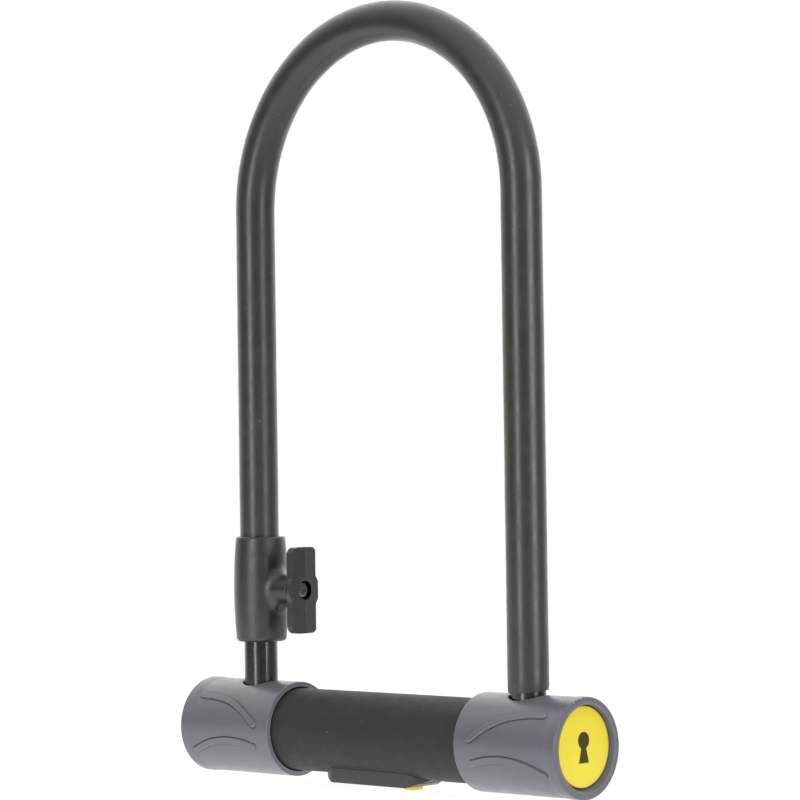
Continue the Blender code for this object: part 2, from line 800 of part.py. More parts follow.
def make_slider():
    slider = box("dust_cover_slider", SLIDER_X, (-SLIDER_HALF, SLIDER_HALF), SLIDER_Z)
    nub = box("nub", NUB_X, (-NUB_HALF, NUB_HALF), (NUB_BOTTOM, SLIDER_Z[0] + 0.0005))
    bevel(nub, NUB_ROUND, 2)
    join(slider, helper(nub))
    window = box("slider_window", SLIDER_WINDOW_X, (-NUB_HALF, NUB_HALF), FROM_BELOW)
    cut(slider, helper(window))
    finish(slider, "yellow_plastic", SLIDER)


# ---- Frame bracket ----


def barrel_radius(z):
    half = (COLLAR_Z[1] - COLLAR_Z[0]) / 2
    return COLLAR_MID_R - COLLAR_BULGE * ((z - COLLAR_MID) / half) ** 2


def barrel_profile():
    """The collar's outside: a slight barrel with a small upper and a rounder lower edge."""
    low, high = COLLAR_Z
    steps = 8
    top_edge, low_edge = 0.0005, 0.0012
    start, end = high - top_edge, low + low_edge
    heights = [start + (end - start) * i / steps for i in range(steps + 1)]
    side = [(z, barrel_radius(z)) for z in heights]
    rounded = arc((end, barrel_radius(end) - low_edge), low_edge, 0, -90, 3)[1:]
    return [(high, 0), (high, barrel_radius(high) - top_edge), *side, *rounded, (low, 0)]


def make_neck(sides=SMALL_ROUND):
    """The neck from the collar to the tee, with the fillet by which it leaves the collar.

    The fillet is what a ball leaves that rolls round the neck and touches the barrel too.
    """
    stations = (0.0, 0.25, 0.5, 0.75, 0.95)
    sink = 0.002  # the last ring lies inside the barrel
    rings = [[] for _ in range(len(stations) + 2)]
    across = NECK_R + NECK_FILLET
    for k in range(sides):
        turn = 2 * math.pi * k / sides
        way = Vector((0, math.cos(turn), math.sin(turn)))
        reach = barrel_radius(COLLAR_MID + across * way.z) + NECK_FILLET
        run = math.sqrt(reach**2 - (across * way.y) ** 2)
        centre = Vector((COLLAR_X + run, across * way.y, across * way.z))
        to_barrel = Vector((-run, -across * way.y, 0)).normalized()
        rings[0].append(Vector((NECK_END_X, NECK_R * way.y, NECK_R * way.z)))
        for ring, station in zip(rings[1:], stations):
            ring.append(centre + NECK_FILLET * (-way).slerp(to_barrel, station))
        rings[-1].append(rings[-2][-1] + sink * to_barrel)
    bm = bmesh.new()
    rows = [[bm.verts.new(point) for point in ring] for ring in rings]
    for first, second in zip(rows, rows[1:]):
        for k in range(sides):
            n = (k + 1) % sides
            bm.faces.new((first[k], first[n], second[n], second[k]))
    bm.faces.new(rows[0])
    bm.faces.new(rows[-1])
    bmesh.ops.recalc_face_normals(bm, faces=bm.faces)
    return from_bmesh("neck", bm, Matrix.Translation((0, 0, COLLAR_MID)))


def make_collar():
    leg = (-LEG_X, 0, 0)
    collar = turned("bracket_collar", barrel_profile(), "Z", (COLLAR_X, 0, 0), ROUND)
    join(collar, helper(make_neck()))
    pocket = NUT_HALF + GAP
    cut(
        collar,
        helper(cylinder("collar_bore", COLLAR_BORE_R, (0.02, 0.08), "Z", leg)),
        helper(
            cylinder("ring_groove", RING_R + GAP, (RING_Z[0] - GAP, RING_Z[1] + GAP), "Z", leg)
        ),
        helper(
            cylinder(
                "collar_screw_hole",
                SCREW_R + GAP,
                (SCREW_END_X - GAP, -0.045),
                "X",
                (0, 0, COLLAR_MID),
                TINY_ROUND,
            )
        ),
        helper(
            box(
                "nut_pocket",
                (NUT_X[0] - GAP, NUT_X[1] + GAP),
                (-pocket, pocket),
                (COLLAR_Z[0], COLLAR_MID + pocket),
            )
        ),
    )
    finish(collar, "dark_plastic", SWIVEL)


def make_friction_ring():
    profile = [
        (RING_Z[1], RING_R),
        (RING_Z[0], RING_R),
        (RING_Z[0], COLLAR_BORE_R),
        (RING_Z[1], COLLAR_BORE_R),
    ]
    ring = turned("friction_ring", profile, "Z", (-LEG_X, 0, 0), SMALL_ROUND, ring=True)
    finish(ring, "soft_rubber", BRACKET)


def make_bracket_screw():
    centre = (0, 0, COLLAR_MID)
    head_back, head_front = SCREW_HEAD_X
    profile = [
        (head_front, 0),
        (head_front, SCREW_HEAD_R - 0.0003),
        (head_front - 0.0003, SCREW_HEAD_R),
        (head_back, SCREW_HEAD_R),
        (head_back, SCREW_R),
        (SCREW_END_X, SCREW_R),
        (SCREW_END_X, 0),
    ]
    screw = turned("bracket_screw", profile, "X", centre, TINY_ROUND)
    socket_r, depth = SOCKET
    span = (head_front - depth, head_front + depth)
    cut(screw, helper(cylinder("hex_socket", socket_r, span, "X", centre, 6)))
    finish(screw, "plated_steel", SWIVEL)

    washer = cylinder("bracket_washer", SCREW_HEAD_R, WASHER_X, "X", centre)
    cut(washer, helper(cylinder("washer_hole", SCREW_R + GAP, (-0.05, -0.04), "X", centre)))
    finish(washer, "plated_steel", SWIVEL)

    nut = box(
        "bracket_nut",
        NUT_X,
        (-NUT_HALF, NUT_HALF),
        (COLLAR_MID - NUT_HALF, COLLAR_MID + NUT_HALF),
    )
    thread = cylinder("nut_hole", SCREW_R + GAP, (-0.06, -0.04), "X", centre, TINY_ROUND)
    cut(nut, helper(thread))
    finish(nut, "plated_steel", SWIVEL)


def behind_ridge(name, half_width, chamfer):
    """The space behind the tee's ridged front, with its two side edges chamfered."""
    beyond = 0.001
    flat = half_width - chamfer
    front = TEE_RIDGE_X - (TEE_RIDGE_X - TEE_EDGE_X) * flat / TEE_HALF[0]
    side = front - chamfer - beyond
    wide, back = half_width + beyond, TEE_BACK_X - beyond
    outline = [
        (back, -wide),
        (side, -wide),
        (front, -flat),
        (TEE_RIDGE_X, 0),
        (front, flat),
        (side, wide),
        (back, wide),
    ]
    reach = TEE_HALF[1] + beyond
    return helper(prism(name, outline, (COLLAR_MID - reach, COLLAR_MID + reach)))


def make_tee():
    """The tee that fits the frame's holder: a ridged plate, a round hub and a back boss."""
    half_y, half_z = TEE_HALF
    # The outline's own X is the lock's -Z, and its own Z the lock's +X.
    place = axis_matrix("X", (0, 0, COLLAR_MID))
    outline = rounded_outline(half_z, half_y, TEE_CORNER)
    beyond = 0.001
    tee = prism("bracket_tee", outline, (TEE_BACK_X, TEE_RIDGE_X + beyond), place)
    combine(tee, behind_ridge("plate_front", half_y, TEE_CHAMFER), "INTERSECT")
    centre = (0, 0, COLLAR_MID)
    hub = helper(cylinder("hub", HUB_R, (HUB_BACK_X, TEE_RIDGE_X + beyond), "X", centre))
    combine(hub, behind_ridge("hub_front", HUB_R, HUB_CHAMFER), "INTERSECT")
    boss = cylinder("tee_boss", NECK_R, (TEE_BOSS_X, TEE_BACK_X + beyond), "X", centre)
    join(tee, hub, helper(boss))
    cut(
        tee,
        helper(cylinder("counterbore", SCREW_HOLE_R, (COUNTERBORE_X, -0.04), "X", centre)),
        helper(
            cylinder("tee_hole", SCREW_R + GAP, (-0.05, -0.0445), "X", centre, TINY_ROUND)
        ),
    )
    finish(tee, "dark_plastic", TEE)


make_shackle()
make_tube()
make_cover()
both_ends(make_cap)
both_ends(make_badge)
both_ends(make_end_plug)
both_ends(make_bolt_guide)
make_housing()
make_drill_plate()
make_plug()
make_discs()
make_sidebar()
make_cam()
make_bolt("bolt_right", 1, BOLT_RIGHT)
make_bolt("bolt_left", -1, BOLT_LEFT)
make_shroud()
make_slider()
make_collar()
make_friction_ring()
make_bracket_screw()
make_tee()
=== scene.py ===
"""Looks of the bicycle U lock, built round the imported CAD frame."""

import math

import bmesh
import bpy
import numpy as np
from mathutils import Matrix, Vector


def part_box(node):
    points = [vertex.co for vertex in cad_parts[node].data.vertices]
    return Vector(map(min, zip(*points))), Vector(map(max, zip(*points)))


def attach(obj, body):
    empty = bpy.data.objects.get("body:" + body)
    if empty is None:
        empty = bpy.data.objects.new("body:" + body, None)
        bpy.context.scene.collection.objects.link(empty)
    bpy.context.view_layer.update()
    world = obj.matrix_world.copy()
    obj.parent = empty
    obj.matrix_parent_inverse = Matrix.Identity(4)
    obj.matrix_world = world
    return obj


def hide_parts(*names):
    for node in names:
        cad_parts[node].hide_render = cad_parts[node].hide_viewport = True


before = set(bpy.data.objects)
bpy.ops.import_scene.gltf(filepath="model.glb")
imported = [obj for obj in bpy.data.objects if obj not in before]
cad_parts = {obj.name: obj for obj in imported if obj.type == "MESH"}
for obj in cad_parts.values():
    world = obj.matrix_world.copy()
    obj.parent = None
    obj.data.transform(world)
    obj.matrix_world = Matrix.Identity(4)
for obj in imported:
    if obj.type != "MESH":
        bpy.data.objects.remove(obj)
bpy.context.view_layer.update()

# ---- Sizes, in metres, read from the frame ----

TUBE_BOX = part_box("crossbar_tube")
COVER_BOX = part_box("crossbar_cover")
CAP_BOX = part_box("end_cap_right")
BADGE_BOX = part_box("badge_disc_right")
BAR_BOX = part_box("shackle_bar")
SLEEVE_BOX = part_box("shackle_sleeve")
SHROUD_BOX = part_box("keyway_shroud")
SLIDER_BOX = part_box("dust_cover_slider")
COLLAR_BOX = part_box("bracket_collar")
RING_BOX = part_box("friction_ring")
TEE_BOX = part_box("bracket_tee")
SCREW_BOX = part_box("bracket_screw")
NUT_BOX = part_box("bracket_nut")


def half(box, axis):
    return (box[1][axis] - box[0][axis]) / 2


def middle(box, axis):
    return (box[1][axis] + box[0][axis]) / 2


AXIS_Z = middle(TUBE_BOX, 2)
TUBE_R = half(TUBE_BOX, 2)
COVER_R = half(COVER_BOX, 2)
CAP_R = half(CAP_BOX, 2)
BADGE_R = half(BADGE_BOX, 2)
SLEEVE_R = half(SLEEVE_BOX, 1)
BAR_R = half(BAR_BOX, 1)
LEG_X = half(SLEEVE_BOX, 0) - SLEEVE_R
ARCH_Z = SLEEVE_BOX[1].z - SLEEVE_R - LEG_X
COLLAR_MID = middle(SCREW_BOX, 2)
GAP = 0.0003  # left round a piece that sits in another
AXIS_R = 0.00002  # the radius at which a revolved piece ends on its own axis
BEYOND = 0.001  # how far a cutter goes past what it cuts

# ---- Sizes that the frame's boxes don't give, in metres, with angles in degrees ----

# The shackle. Its rings are LEG_STEP apart on the legs and ARCH_STEP degrees on the arch. The
# sleeve's cut at the right end is higher on the side that SLANT_TOWARD, as (X, Y), points to.
LEG_STEP = 0.002
ARCH_STEP = 2.0
SLEEVE_WALL = 0.0007
SLEEVE_LIP = 0.0002
SLEEVE_WAVER = 0.000035
SLEEVE_END_LEFT = AXIS_Z + 0.046
SLEEVE_SLANT = 0.00055
SLANT_REACH = 0.004
SLANT_TOWARD = (0.74, 0.67)
NOTCH_DEPTH = 0.0035
NOTCH_Z = (AXIS_Z + 0.0023, AXIS_Z + 0.0083)
NOTCH_HALF = 0.007
BAR_CHAMFER = 0.0008

# The end caps. The body is CAP_WAIST slimmer than the rim, and CAP_RIM_FROM gives the
# distances from the outer end between which it widens. The rows of the body are CAP_ROW_STEP
# apart, and its columns CAP_COLUMN_STEP degrees.
CAP_HOLE_R = 0.0068
HOLE_LIP = 0.0009
HOLE_LIP_DEPTH = 0.0007
CAP_INNER_ROUND = 0.0004
CAP_OUTER_ROUND = 0.0007
CAP_WAIST = 0.00022
CAP_RIM_FROM = (0.0062, 0.0032)
CAP_ROW_STEP = 0.00034
CAP_COLUMN_STEP = 0.6
DISH_MOUTH_R = 0.01475
DISH_FLOOR_R = 0.01405
BADGE_RAISE = 0.00045
BADGE_INSET = 0.00025
BADGE_CROWN = 0.0002
RIB_HALF = 0.00122
RIB_HEIGHT = 0.0006
RIB_SLOPE = 0.00022
RIB_GROOVE = 0.0003
RIB_GROOVE_HALF = 0.0003
# Each rib's line as (distance from the lock's middle, degrees above the front), inner end first
RIB_UPPER = [(0.052, 8.5), (0.058, 22.0), (0.066, 35.0), (0.075, 41.2), (0.0819, 42.2)]
RIB_LOWER = [(0.053, -19.5), (0.060, -14.8), (0.068, -14.0), (0.076, -18.7), (0.0838, -29.2)]

# The crossbar's cover, the shroud under it and the slider in the shroud. SHROUD_POINT shapes
# the shroud's two ends, seen from below: 2 makes them round, and less makes them pointed.
# SHROUD_SLOPE is the run and rise of the slope at each end.
COVER_WAVER = 0.00003
COVER_OPENING_INSET = 0.0011
SHROUD_POINT = 1.45
SHROUD_SLOPE = (0.0080, 0.0030)
SLOT_X = (-0.0132, 0.01365)
SLOT_HALF = 0.0032
CHANNEL_X = (-0.0240, 0.0194)
CHANNEL_FLOOR = AXIS_Z - 0.0159
SLIDER_PLATE_Z = AXIS_Z - 0.0155
WINDOW_X = (-0.0032, 0.0072)
NUB_X = (0.0080, 0.0133)
NUB_HALF = 0.0026
NUB_GRIP_R = 0.00045
NUB_GRIP_INSET = 0.0026

# The frame bracket: its collar with the neck, its tee and its screw. On the tee, faces that
# turn by more than TEE_SHARP have a sharp edge between them, so its flats stay flat.
COLLAR_X = -0.0640
COLLAR_MID_R = 0.0100
COLLAR_BULGE = 0.00095
NECK_R = 0.0053
NECK_FILLET = 0.0052
HUB_R = half(TEE_BOX, 1)
TEE_BACK_X = -0.0445
TEE_EDGE_X = -0.0415
TEE_HALF = (0.0063, half(TEE_BOX, 2))
TEE_CORNER = 0.0030
TEE_CHAMFER = 0.0006
TEE_BEAD_R = 0.00022
TEE_SHARP = 3.0
SCREW_HOLE_R = 0.00315
COUNTERBORE_X = -0.0450
SCREW_R = 0.0015
SOCKET_R = 0.0014
SOCKET_DEPTH = 0.0009
SCREW_HEAD = 0.0016

# The camera looks from the front and the right end, from a little below the lock's middle.
# VIEW_ABOVE_AXIS is its height over the crossbar's axis.
VIEW_TURN = math.radians(42.503)
VIEW_PITCH = math.radians(0.982)
VIEW_ROLL = math.radians(-0.807)
VIEW_DISTANCE = 1.10653
VIEW_ASIDE = 0.005087
VIEW_ABOVE_AXIS = 0.10002
VIEW_LENS = 139.905

# The studio. The world and the floor are white to the camera. They light the object by these
# lobes: a direction as (right, away, up) seen from the camera's place, and its strength.
# FLOOR_SPOT is added near the object, and fades out between the radii in FLOOR_SPOT_R.
FLOOR_HALF = 0.45
FLOOR_SEEN = 0.95
FLOOR_GLOW = 0.7
FLOOR_SPOT = 0.6
FLOOR_SPOT_R = (0.06, 0.2)
FLOOR_LOBES = [((-1, 0, 0), 0.6)]
FLOOR_LOBE_REACH = 0.3
WORLD_LOBES = [((0, 0, 1), 1.0), ((0, 1, 0), 1.5), ((1, 0, 0), 0.1), ((0, 0, -1), 0.8)]
WORLD_LOBE_REACH = 0.9
WORLD_TINT = (1.0, 0.99, 0.97)
BOX_HEIGHT = 0.3
BOX_DISTANCE = 1.6
BOX_AIM_Z = 0.13


# ---- Node-based materials ----


class Surface:
    """A Principled material whose colour, roughness and bump come from noise."""

    def __init__(self, name, roughness, metallic=0.0, specular=0.5):
        self.material = bpy.data.materials.new(name)
        self.material.use_nodes = True
        self.tree = self.material.node_tree
        self.shader = self.tree.nodes["Principled BSDF"]
        self.shader.inputs["Roughness"].default_value = roughness
        self.shader.inputs["Metallic"].default_value = metallic
        self.shader.inputs["Specular IOR Level"].default_value = specular
        self.place = self.tree.nodes.new("ShaderNodeTexCoord").outputs["Object"]
        self.height = None

    def add(self, kind, **settings):
        node = self.tree.nodes.new(kind)
        for key, value in settings.items():
            setattr(node, key, value)
        return node

    def link(self, start, end):
        self.tree.links.new(start, end)

    def noise(self, scale, detail=4.0, stretch=(1, 1, 1)):
        """Noise of about 1/scale metres, drawn out along an axis by stretch."""
        mapping = self.add("ShaderNodeMapping")
        mapping.inputs["Scale"].default_value = [scale * s for s in stretch]
        self.link(self.place, mapping.inputs["Vector"])
        node = self.add("ShaderNodeTexNoise")
        node.inputs["Scale"].default_value = 1.0
        node.inputs["Detail"].default_value = detail
        node.inputs["Roughness"].default_value = 0.55
        self.link(mapping.outputs["Vector"], node.inputs["Vector"])
        return node.outputs["Fac"]

    def ramp(self, value, low, high, start=0.0, end=1.0):
        """start to end as value goes from low to high."""
        node = self.add("ShaderNodeMapRange", clamp=True)
        ranges = {"From Min": low, "From Max": high, "To Min": start, "To Max": end}
        for key, number in ranges.items():
            node.inputs[key].default_value = number
        self.link(value, node.inputs["Value"])
        return node.outputs["Result"]

    def mix(self, factor, first, second):
        """A colour between first and second, which are colours or sockets."""
        node = self.add("ShaderNodeMix", data_type="RGBA")
        inputs = [s for s in node.inputs if s.type == "RGBA"]
        for socket, value in zip(inputs, (first, second)):
            if isinstance(value, tuple):
                socket.default_value = (*value, 1.0)
            else:
                self.link(value, socket)
        self.link(factor, node.inputs["Factor"])
        return [s for s in node.outputs if s.type == "RGBA"][0]

    def colour(self, value):
        if isinstance(value, tuple):
            self.shader.inputs["Base Color"].default_value = (*value, 1.0)
        else:
            self.link(value, self.shader.inputs["Base Color"])

    def roughness(self, value):
        self.link(value, self.shader.inputs["Roughness"])

    def bump(self, value, distance, strength=1.0):
        node = self.add("ShaderNodeBump")
        node.inputs["Distance"].default_value = distance
        node.inputs["Strength"].default_value = strength
        self.link(value, node.inputs["Height"])
        if self.height is not None:
            self.link(self.height, node.inputs["Normal"])
        self.height = node.outputs["Normal"]
        self.link(self.height, self.shader.inputs["Normal"])


DUST_COLOUR = (0.32, 0.31, 0.29)


def tinted(colour, factor):
    return tuple(min(channel * factor, 1.0) for channel in colour)


def moulded(
    name,
    colour,
    roughness,
    dust=0.0,
    grain=0.00002,
    mottle=0.12,
    specular=0.5,
    wear_and_painted_light=0.0,
    hide=0.0,
):
    """Moulded rubber or plastic: faint mottling, fine grain and specks of dust. With
    wear_and_painted_light, its edges are painted paler where they stand out, partly as rubbed wear
    and partly as a painted highlight, and painted darker where they fold in, as painted shade in
    the creases. With hide, it has a leathery texture of that height."""
    made = Surface(name, roughness, specular=specular)
    cloud = made.ramp(made.noise(55.0, 5.0), 0.3, 0.7)
    body = made.mix(cloud, tinted(colour, 1 - mottle), tinted(colour, 1 + mottle))
    # Painted shade darkens the creases, where pointiness is low. A painted highlight, partly edge
    # wear, lightens the edges that stand out.
    if wear_and_painted_light:
        bend = made.add("ShaderNodeNewGeometry").outputs["Pointiness"]
        crease_shade = made.ramp(bend, 0.44, 0.485, wear_and_painted_light, 0.0)
        body = made.mix(crease_shade, body, tinted(colour, 0.25))
        edge_wear_and_highlight = made.ramp(bend, 0.52, 0.58, 0.0, wear_and_painted_light)
        body = made.mix(edge_wear_and_highlight, body, tinted(colour, 2.6))
    if dust:
        specks = made.ramp(made.noise(620.0, 2.0), 0.735, 0.765, 0.0, dust)
        body = made.mix(specks, body, DUST_COLOUR)
    made.colour(body)
    made.roughness(made.ramp(made.noise(240.0, 4.0), 0.3, 0.7, roughness - 0.06, roughness + 0.06))
    made.bump(made.noise(3600.0, 2.0), grain)
    made.bump(made.noise(130.0, 3.0), grain * 2.0, 0.6)
    if hide:
        made.bump(made.noise(1500.0, 3.0), hide)
    return made.material


def drawn_steel(name, colour, roughness, stretch=(1, 1, 0.03), stain=(0.16, 0.11, 0.08)):
    """Drawn steel: fine streaks along the bar, and oil stains."""
    made = Surface(name, roughness, metallic=1.0)
    streaks = made.noise(2600.0, 3.0, stretch)
    stains = made.ramp(made.noise(90.0, 5.0, (1, 1, 0.35)), 0.5, 0.72, 0.0, 0.5)
    body = made.mix(streaks, tinted(colour, 0.75), tinted(colour, 1.25))
    made.colour(made.mix(stains, body, stain))
    made.roughness(made.ramp(streaks, 0.3, 0.7, roughness - 0.07, roughness + 0.09))
    made.bump(streaks, 0.000004)
    return made.material


def machined(name, colour, roughness):
    """Machined or plated metal: faint mottling and fine tool marks."""
    made = Surface(name, roughness, metallic=1.0)
    marks = made.noise(3200.0, 3.0, (1, 1, 6))
    cloud = made.ramp(made.noise(160.0, 4.0), 0.3, 0.7)
    made.colour(made.mix(cloud, tinted(colour, 0.88), tinted(colour, 1.1)))
    made.roughness(made.ramp(marks, 0.3, 0.7, roughness - 0.05, roughness + 0.1))
    made.bump(marks, 0.000008)
    return made.material


def lacquer(name, colour, edge, coat=0.25, specular=0.5):
    """The badge's print under a clear coat: colour, which turns to edge in faint clouds."""
    made = Surface(name, 0.28, specular=specular)
    cloud = made.ramp(made.noise(70.0, 3.0), 0.3, 0.7)
    made.colour(made.mix(cloud, colour, edge))
    made.shader.inputs["Coat Weight"].default_value = coat
    made.shader.inputs["Coat Roughness"].default_value = 0.08
    made.bump(made.noise(900.0, 2.0), 0.000006)
    return made.material


SLEEVE_LOOK = moulded(
    "sleeve_vinyl", (0.041, 0.0385, 0.0335), 0.36, dust=0.45, grain=0.000018, specular=0.7
)
COVER_LOOK = moulded(
    "cover_vinyl", (0.031, 0.03, 0.0305), 0.66, dust=0.35, grain=0.00002, specular=0.3
)
# The caps carry painted shade in their creases and a painted highlight, partly wear, on their
# standing edges.
CAP_LOOK = moulded(
    "cap_rubber",
    (0.132, 0.131, 0.157),
    0.36,
    dust=0.3,
    grain=0.000016,
    mottle=0.05,
    specular=0.6,
    wear_and_painted_light=0.7,
)
SHROUD_LOOK = moulded("shroud_nylon", (0.036, 0.0335, 0.0325), 0.45, grain=0.00003)
BRACKET_LOOK = moulded(
    "bracket_nylon",
    (0.0115, 0.0107, 0.0096),
    0.4,
    dust=0.25,
    grain=0.00003,
    mottle=0.2,
    specular=1.0,
    hide=0.0001,
)
YELLOW_LOOK = moulded("slider_yellow", (0.86, 0.62, 0.03), 0.4, grain=0.00001, mottle=0.04)
BADGE_LOOK = lacquer("badge_yellow", (0.87, 0.71, 0.028), (0.89, 0.74, 0.038))
PRINT_LOOK = lacquer(
    "badge_print", (0.05, 0.042, 0.001), (0.062, 0.053, 0.002), coat=0.0, specular=0.25
)
RUBBER_LOOK = moulded("ring_rubber", (0.03, 0.03, 0.03), 0.8)
NATURAL_LOOK = moulded("guide_nylon", (0.6, 0.6, 0.56), 0.45)
BAR_LOOK = drawn_steel("bar_steel", (0.088, 0.086, 0.0815), 0.22, stain=(0.055, 0.048, 0.04))
TUBE_LOOK = drawn_steel("tube_steel", (0.2, 0.19, 0.18), 0.35, stretch=(0.03, 1, 1))
HARD_LOOK = machined("hard_steel", (0.32, 0.31, 0.3), 0.32)
PLATED_LOOK = machined("plated_steel", (0.66, 0.66, 0.67), 0.22)
BLACKED_LOOK = machined("blacked_steel", (0.3, 0.29, 0.28), 0.2)
BRASS_LOOK = machined("cylinder_brass", (0.76, 0.57, 0.26), 0.28)


# ---- Mesh tools ----

SHARP = 35.0  # degrees between two faces whose edge is drawn sharp


def to_object(name, bm):
    """An object from a bmesh, shaded smooth with its sharp edges kept."""
    bmesh.ops.recalc_face_normals(bm, faces=bm.faces)
    mesh = bpy.data.meshes.new(name)
    bm.to_mesh(mesh)
    bm.free()
    mesh.shade_smooth()
    mesh.set_sharp_from_angle(angle=math.radians(SHARP))
    obj = bpy.data.objects.new(name, mesh)
    bpy.context.scene.collection.objects.link(obj)
    return obj


def skin(name, rings, loop=False, ends=False):
    """Joins rings of equally many points into one skin, closed on itself or by two end faces."""
    rings = np.asarray(rings, float)
    count, around = rings.shape[:2]
    mesh = bpy.data.meshes.new(name)
    first = np.arange(count if loop else count - 1)[:, None] * around
    second = (first + around) % (count * around)
    k = np.arange(around)[None, :]
    n = (k + 1) % around
    quads = np.stack([first + k, first + n, second + n, second + k], axis=-1).reshape(-1, 4)
    faces = quads.tolist()
    if ends:
        faces.append(list(range(around)))
        faces.append(list(range((count - 1) * around, count * around)))
    mesh.from_pydata(rings.reshape(-1, 3).tolist(), [], faces)
    bm = bmesh.new()
    bm.from_mesh(mesh)
    bpy.data.meshes.remove(mesh)
    return to_object(name, bm)


def applied(obj, sharp=SHARP):
    """The object with its modifiers applied."""
    bpy.context.view_layer.update()
    evaluated = obj.evaluated_get(bpy.context.evaluated_depsgraph_get())
    mesh = bpy.data.meshes.new_from_object(evaluated)
    old = obj.data
    obj.modifiers.clear()
    obj.data = mesh
    bpy.data.meshes.remove(old)
    mesh.name = obj.name
    mesh.shade_smooth()
    mesh.set_sharp_from_angle(angle=math.radians(sharp))
    return obj


def combine(obj, others, operation="DIFFERENCE", sharp=SHARP):
    """Cuts others from obj, or joins or intersects them, and removes them."""
    for number, other in enumerate(others):
        change = obj.modifiers.new(f"cut_{number}", "BOOLEAN")
        change.operation = operation
        change.solver = "EXACT"
        change.object = other
    applied(obj, sharp)
    for other in others:
        bpy.data.objects.remove(other)
    return obj


def rounded(obj, width, segments=3, angle=40.0, sharp=SHARP):
    """Rounds the edges at which the faces turn by more than angle degrees."""
    change = obj.modifiers.new("edges", "BEVEL")
    change.width = width
    change.segments = segments
    change.limit_method = "ANGLE"
    change.angle_limit = math.radians(angle)
    return applied(obj, sharp)


def circle(radius, sides):
    turns = np.linspace(0, 2 * math.pi, sides, endpoint=False)
    return radius * np.cos(turns), radius * np.sin(turns)


def revolved(name, profile, axis, centre=(0, 0, 0), sides=96, ring=False):
    """Turns (along, radius) points about X, Y or Z through centre."""
    rings = []
    for along, radius in profile:
        a, b = circle(max(radius, AXIS_R), sides)
        flat = np.full(sides, along)
        columns = {"X": (flat, a, b), "Y": (b, flat, a), "Z": (a, b, flat)}[axis]
        rings.append(np.stack(columns, axis=-1) + np.array(centre))
    return skin(name, rings, loop=ring, ends=not ring)


def box_piece(name, low, high):
    bm = bmesh.new()
    bmesh.ops.create_cube(bm, size=1.0)
    size = [b - a for a, b in zip(low, high)]
    bmesh.ops.scale(bm, verts=bm.verts, vec=size)
    bmesh.ops.translate(bm, verts=bm.verts, vec=[(a + b) / 2 for a, b in zip(low, high)])
    return to_object(name, bm)


def prism(name, outline, span, across):
    """A flat outline raised over span. across names the axis that it is raised along."""
    rings = []
    for level in span:
        points = np.array(outline, float)
        flat = np.full(len(points), level)
        a, b = points[:, 0], points[:, 1]
        columns = {"X": (flat, a, b), "Y": (a, flat, b), "Z": (a, b, flat)}[across]
        rings.append(np.stack(columns, axis=-1))
    return skin(name, rings, ends=True)


def arc_points(centre, radius, start, end, steps):
    """Points on an arc, from start to end degrees, as (first, second) pairs."""
    turns = np.radians(np.linspace(start, end, steps + 1))
    return [(centre[0] + radius * math.cos(t), centre[1] + radius * math.sin(t)) for t in turns]


def keep(obj, look, body, nodes=()):
    """Finishes a piece: its look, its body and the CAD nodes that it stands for."""
    obj.data.materials.clear()
    obj.data.materials.append(look)
    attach(obj, body)
    if nodes:
        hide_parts(*nodes)
    return obj


def half_turned(obj, name):
    """The left end's twin of a piece made for the right end."""
    twin = bpy.data.objects.new(name, obj.data.copy())
    twin.data.transform(Matrix.Rotation(math.pi, 4, "Z"))
    bpy.context.scene.collection.objects.link(twin)
    return twin


# ---- Shackle ----


def leg_heights(start, end):
    return np.linspace(start, end, max(2, round(abs(end - start) / LEG_STEP)))


def shackle_route(left_end, right_end):
    """Points and outward directions along the shackle's centre line, left end first."""
    points, outward = [], []
    for z in leg_heights(left_end, ARCH_Z)[:-1]:
        points.append((-LEG_X, 0, z))
        outward.append((-1, 0, 0))
    for turn in np.radians(np.arange(180.0, -0.5, -ARCH_STEP)):
        points.append((LEG_X * math.cos(turn), 0, ARCH_Z + LEG_X * math.sin(turn)))
        outward.append((math.cos(turn), 0, math.sin(turn)))
    for z in leg_heights(ARCH_Z, right_end)[1:]:
        points.append((LEG_X, 0, z))
        outward.append((1, 0, 0))
    return np.array(points), np.array(outward)


def shackle_rings(points, outward, radii, sides):
    """Circles of the given radii across the route."""
    a, b = circle(1.0, sides)
    spokes = a[None, :, None] * outward[:, None, :] + b[None, :, None] * np.array([0, 1, 0])
    return points[:, None, :] + radii[:, None, None] * spokes


def uneven(count, seed, size):
    """A slow waver along a sleeve, the same each time for the same seed."""
    along = np.linspace(0, 1, count)
    waves = sum(np.sin(2 * math.pi * (k * along * 9 + seed * k)) / k for k in (1, 2, 3, 5))
    return size * waves / 2


def make_sleeve():
    right_end = SLEEVE_BOX[0].z
    points, outward = shackle_route(SLEEVE_END_LEFT, right_end)
    count = len(points)
    sides = 72
    outer = SLEEVE_R + uneven(count, 0.37, SLEEVE_WAVER)
    inner = np.full(count, SLEEVE_R - SLEEVE_WALL)
    outer[0] = outer[-1] = SLEEVE_R - SLEEVE_LIP
    skin_rings = list(shackle_rings(points, outward, outer, sides))
    skin_rings += list(shackle_rings(points, outward, inner, sides)[::-1])
    rings = np.array(skin_rings)
    # The cut at the right end is a little slanted.
    x, y, z = rings[:, :, 0], rings[:, :, 1], rings[:, :, 2]
    slant = (x - LEG_X) * SLANT_TOWARD[0] + y * SLANT_TOWARD[1]
    ease = np.clip((right_end + SLANT_REACH - z) / SLANT_REACH, 0, 1)
    rings[:, :, 2] += np.where(x > 0, SLEEVE_SLANT * slant / SLEEVE_R * ease, 0)
    sleeve = skin("vinyl_sleeve", rings, loop=True)
    keep(sleeve, SLEEVE_LOOK, "shackle", ["shackle_sleeve"])


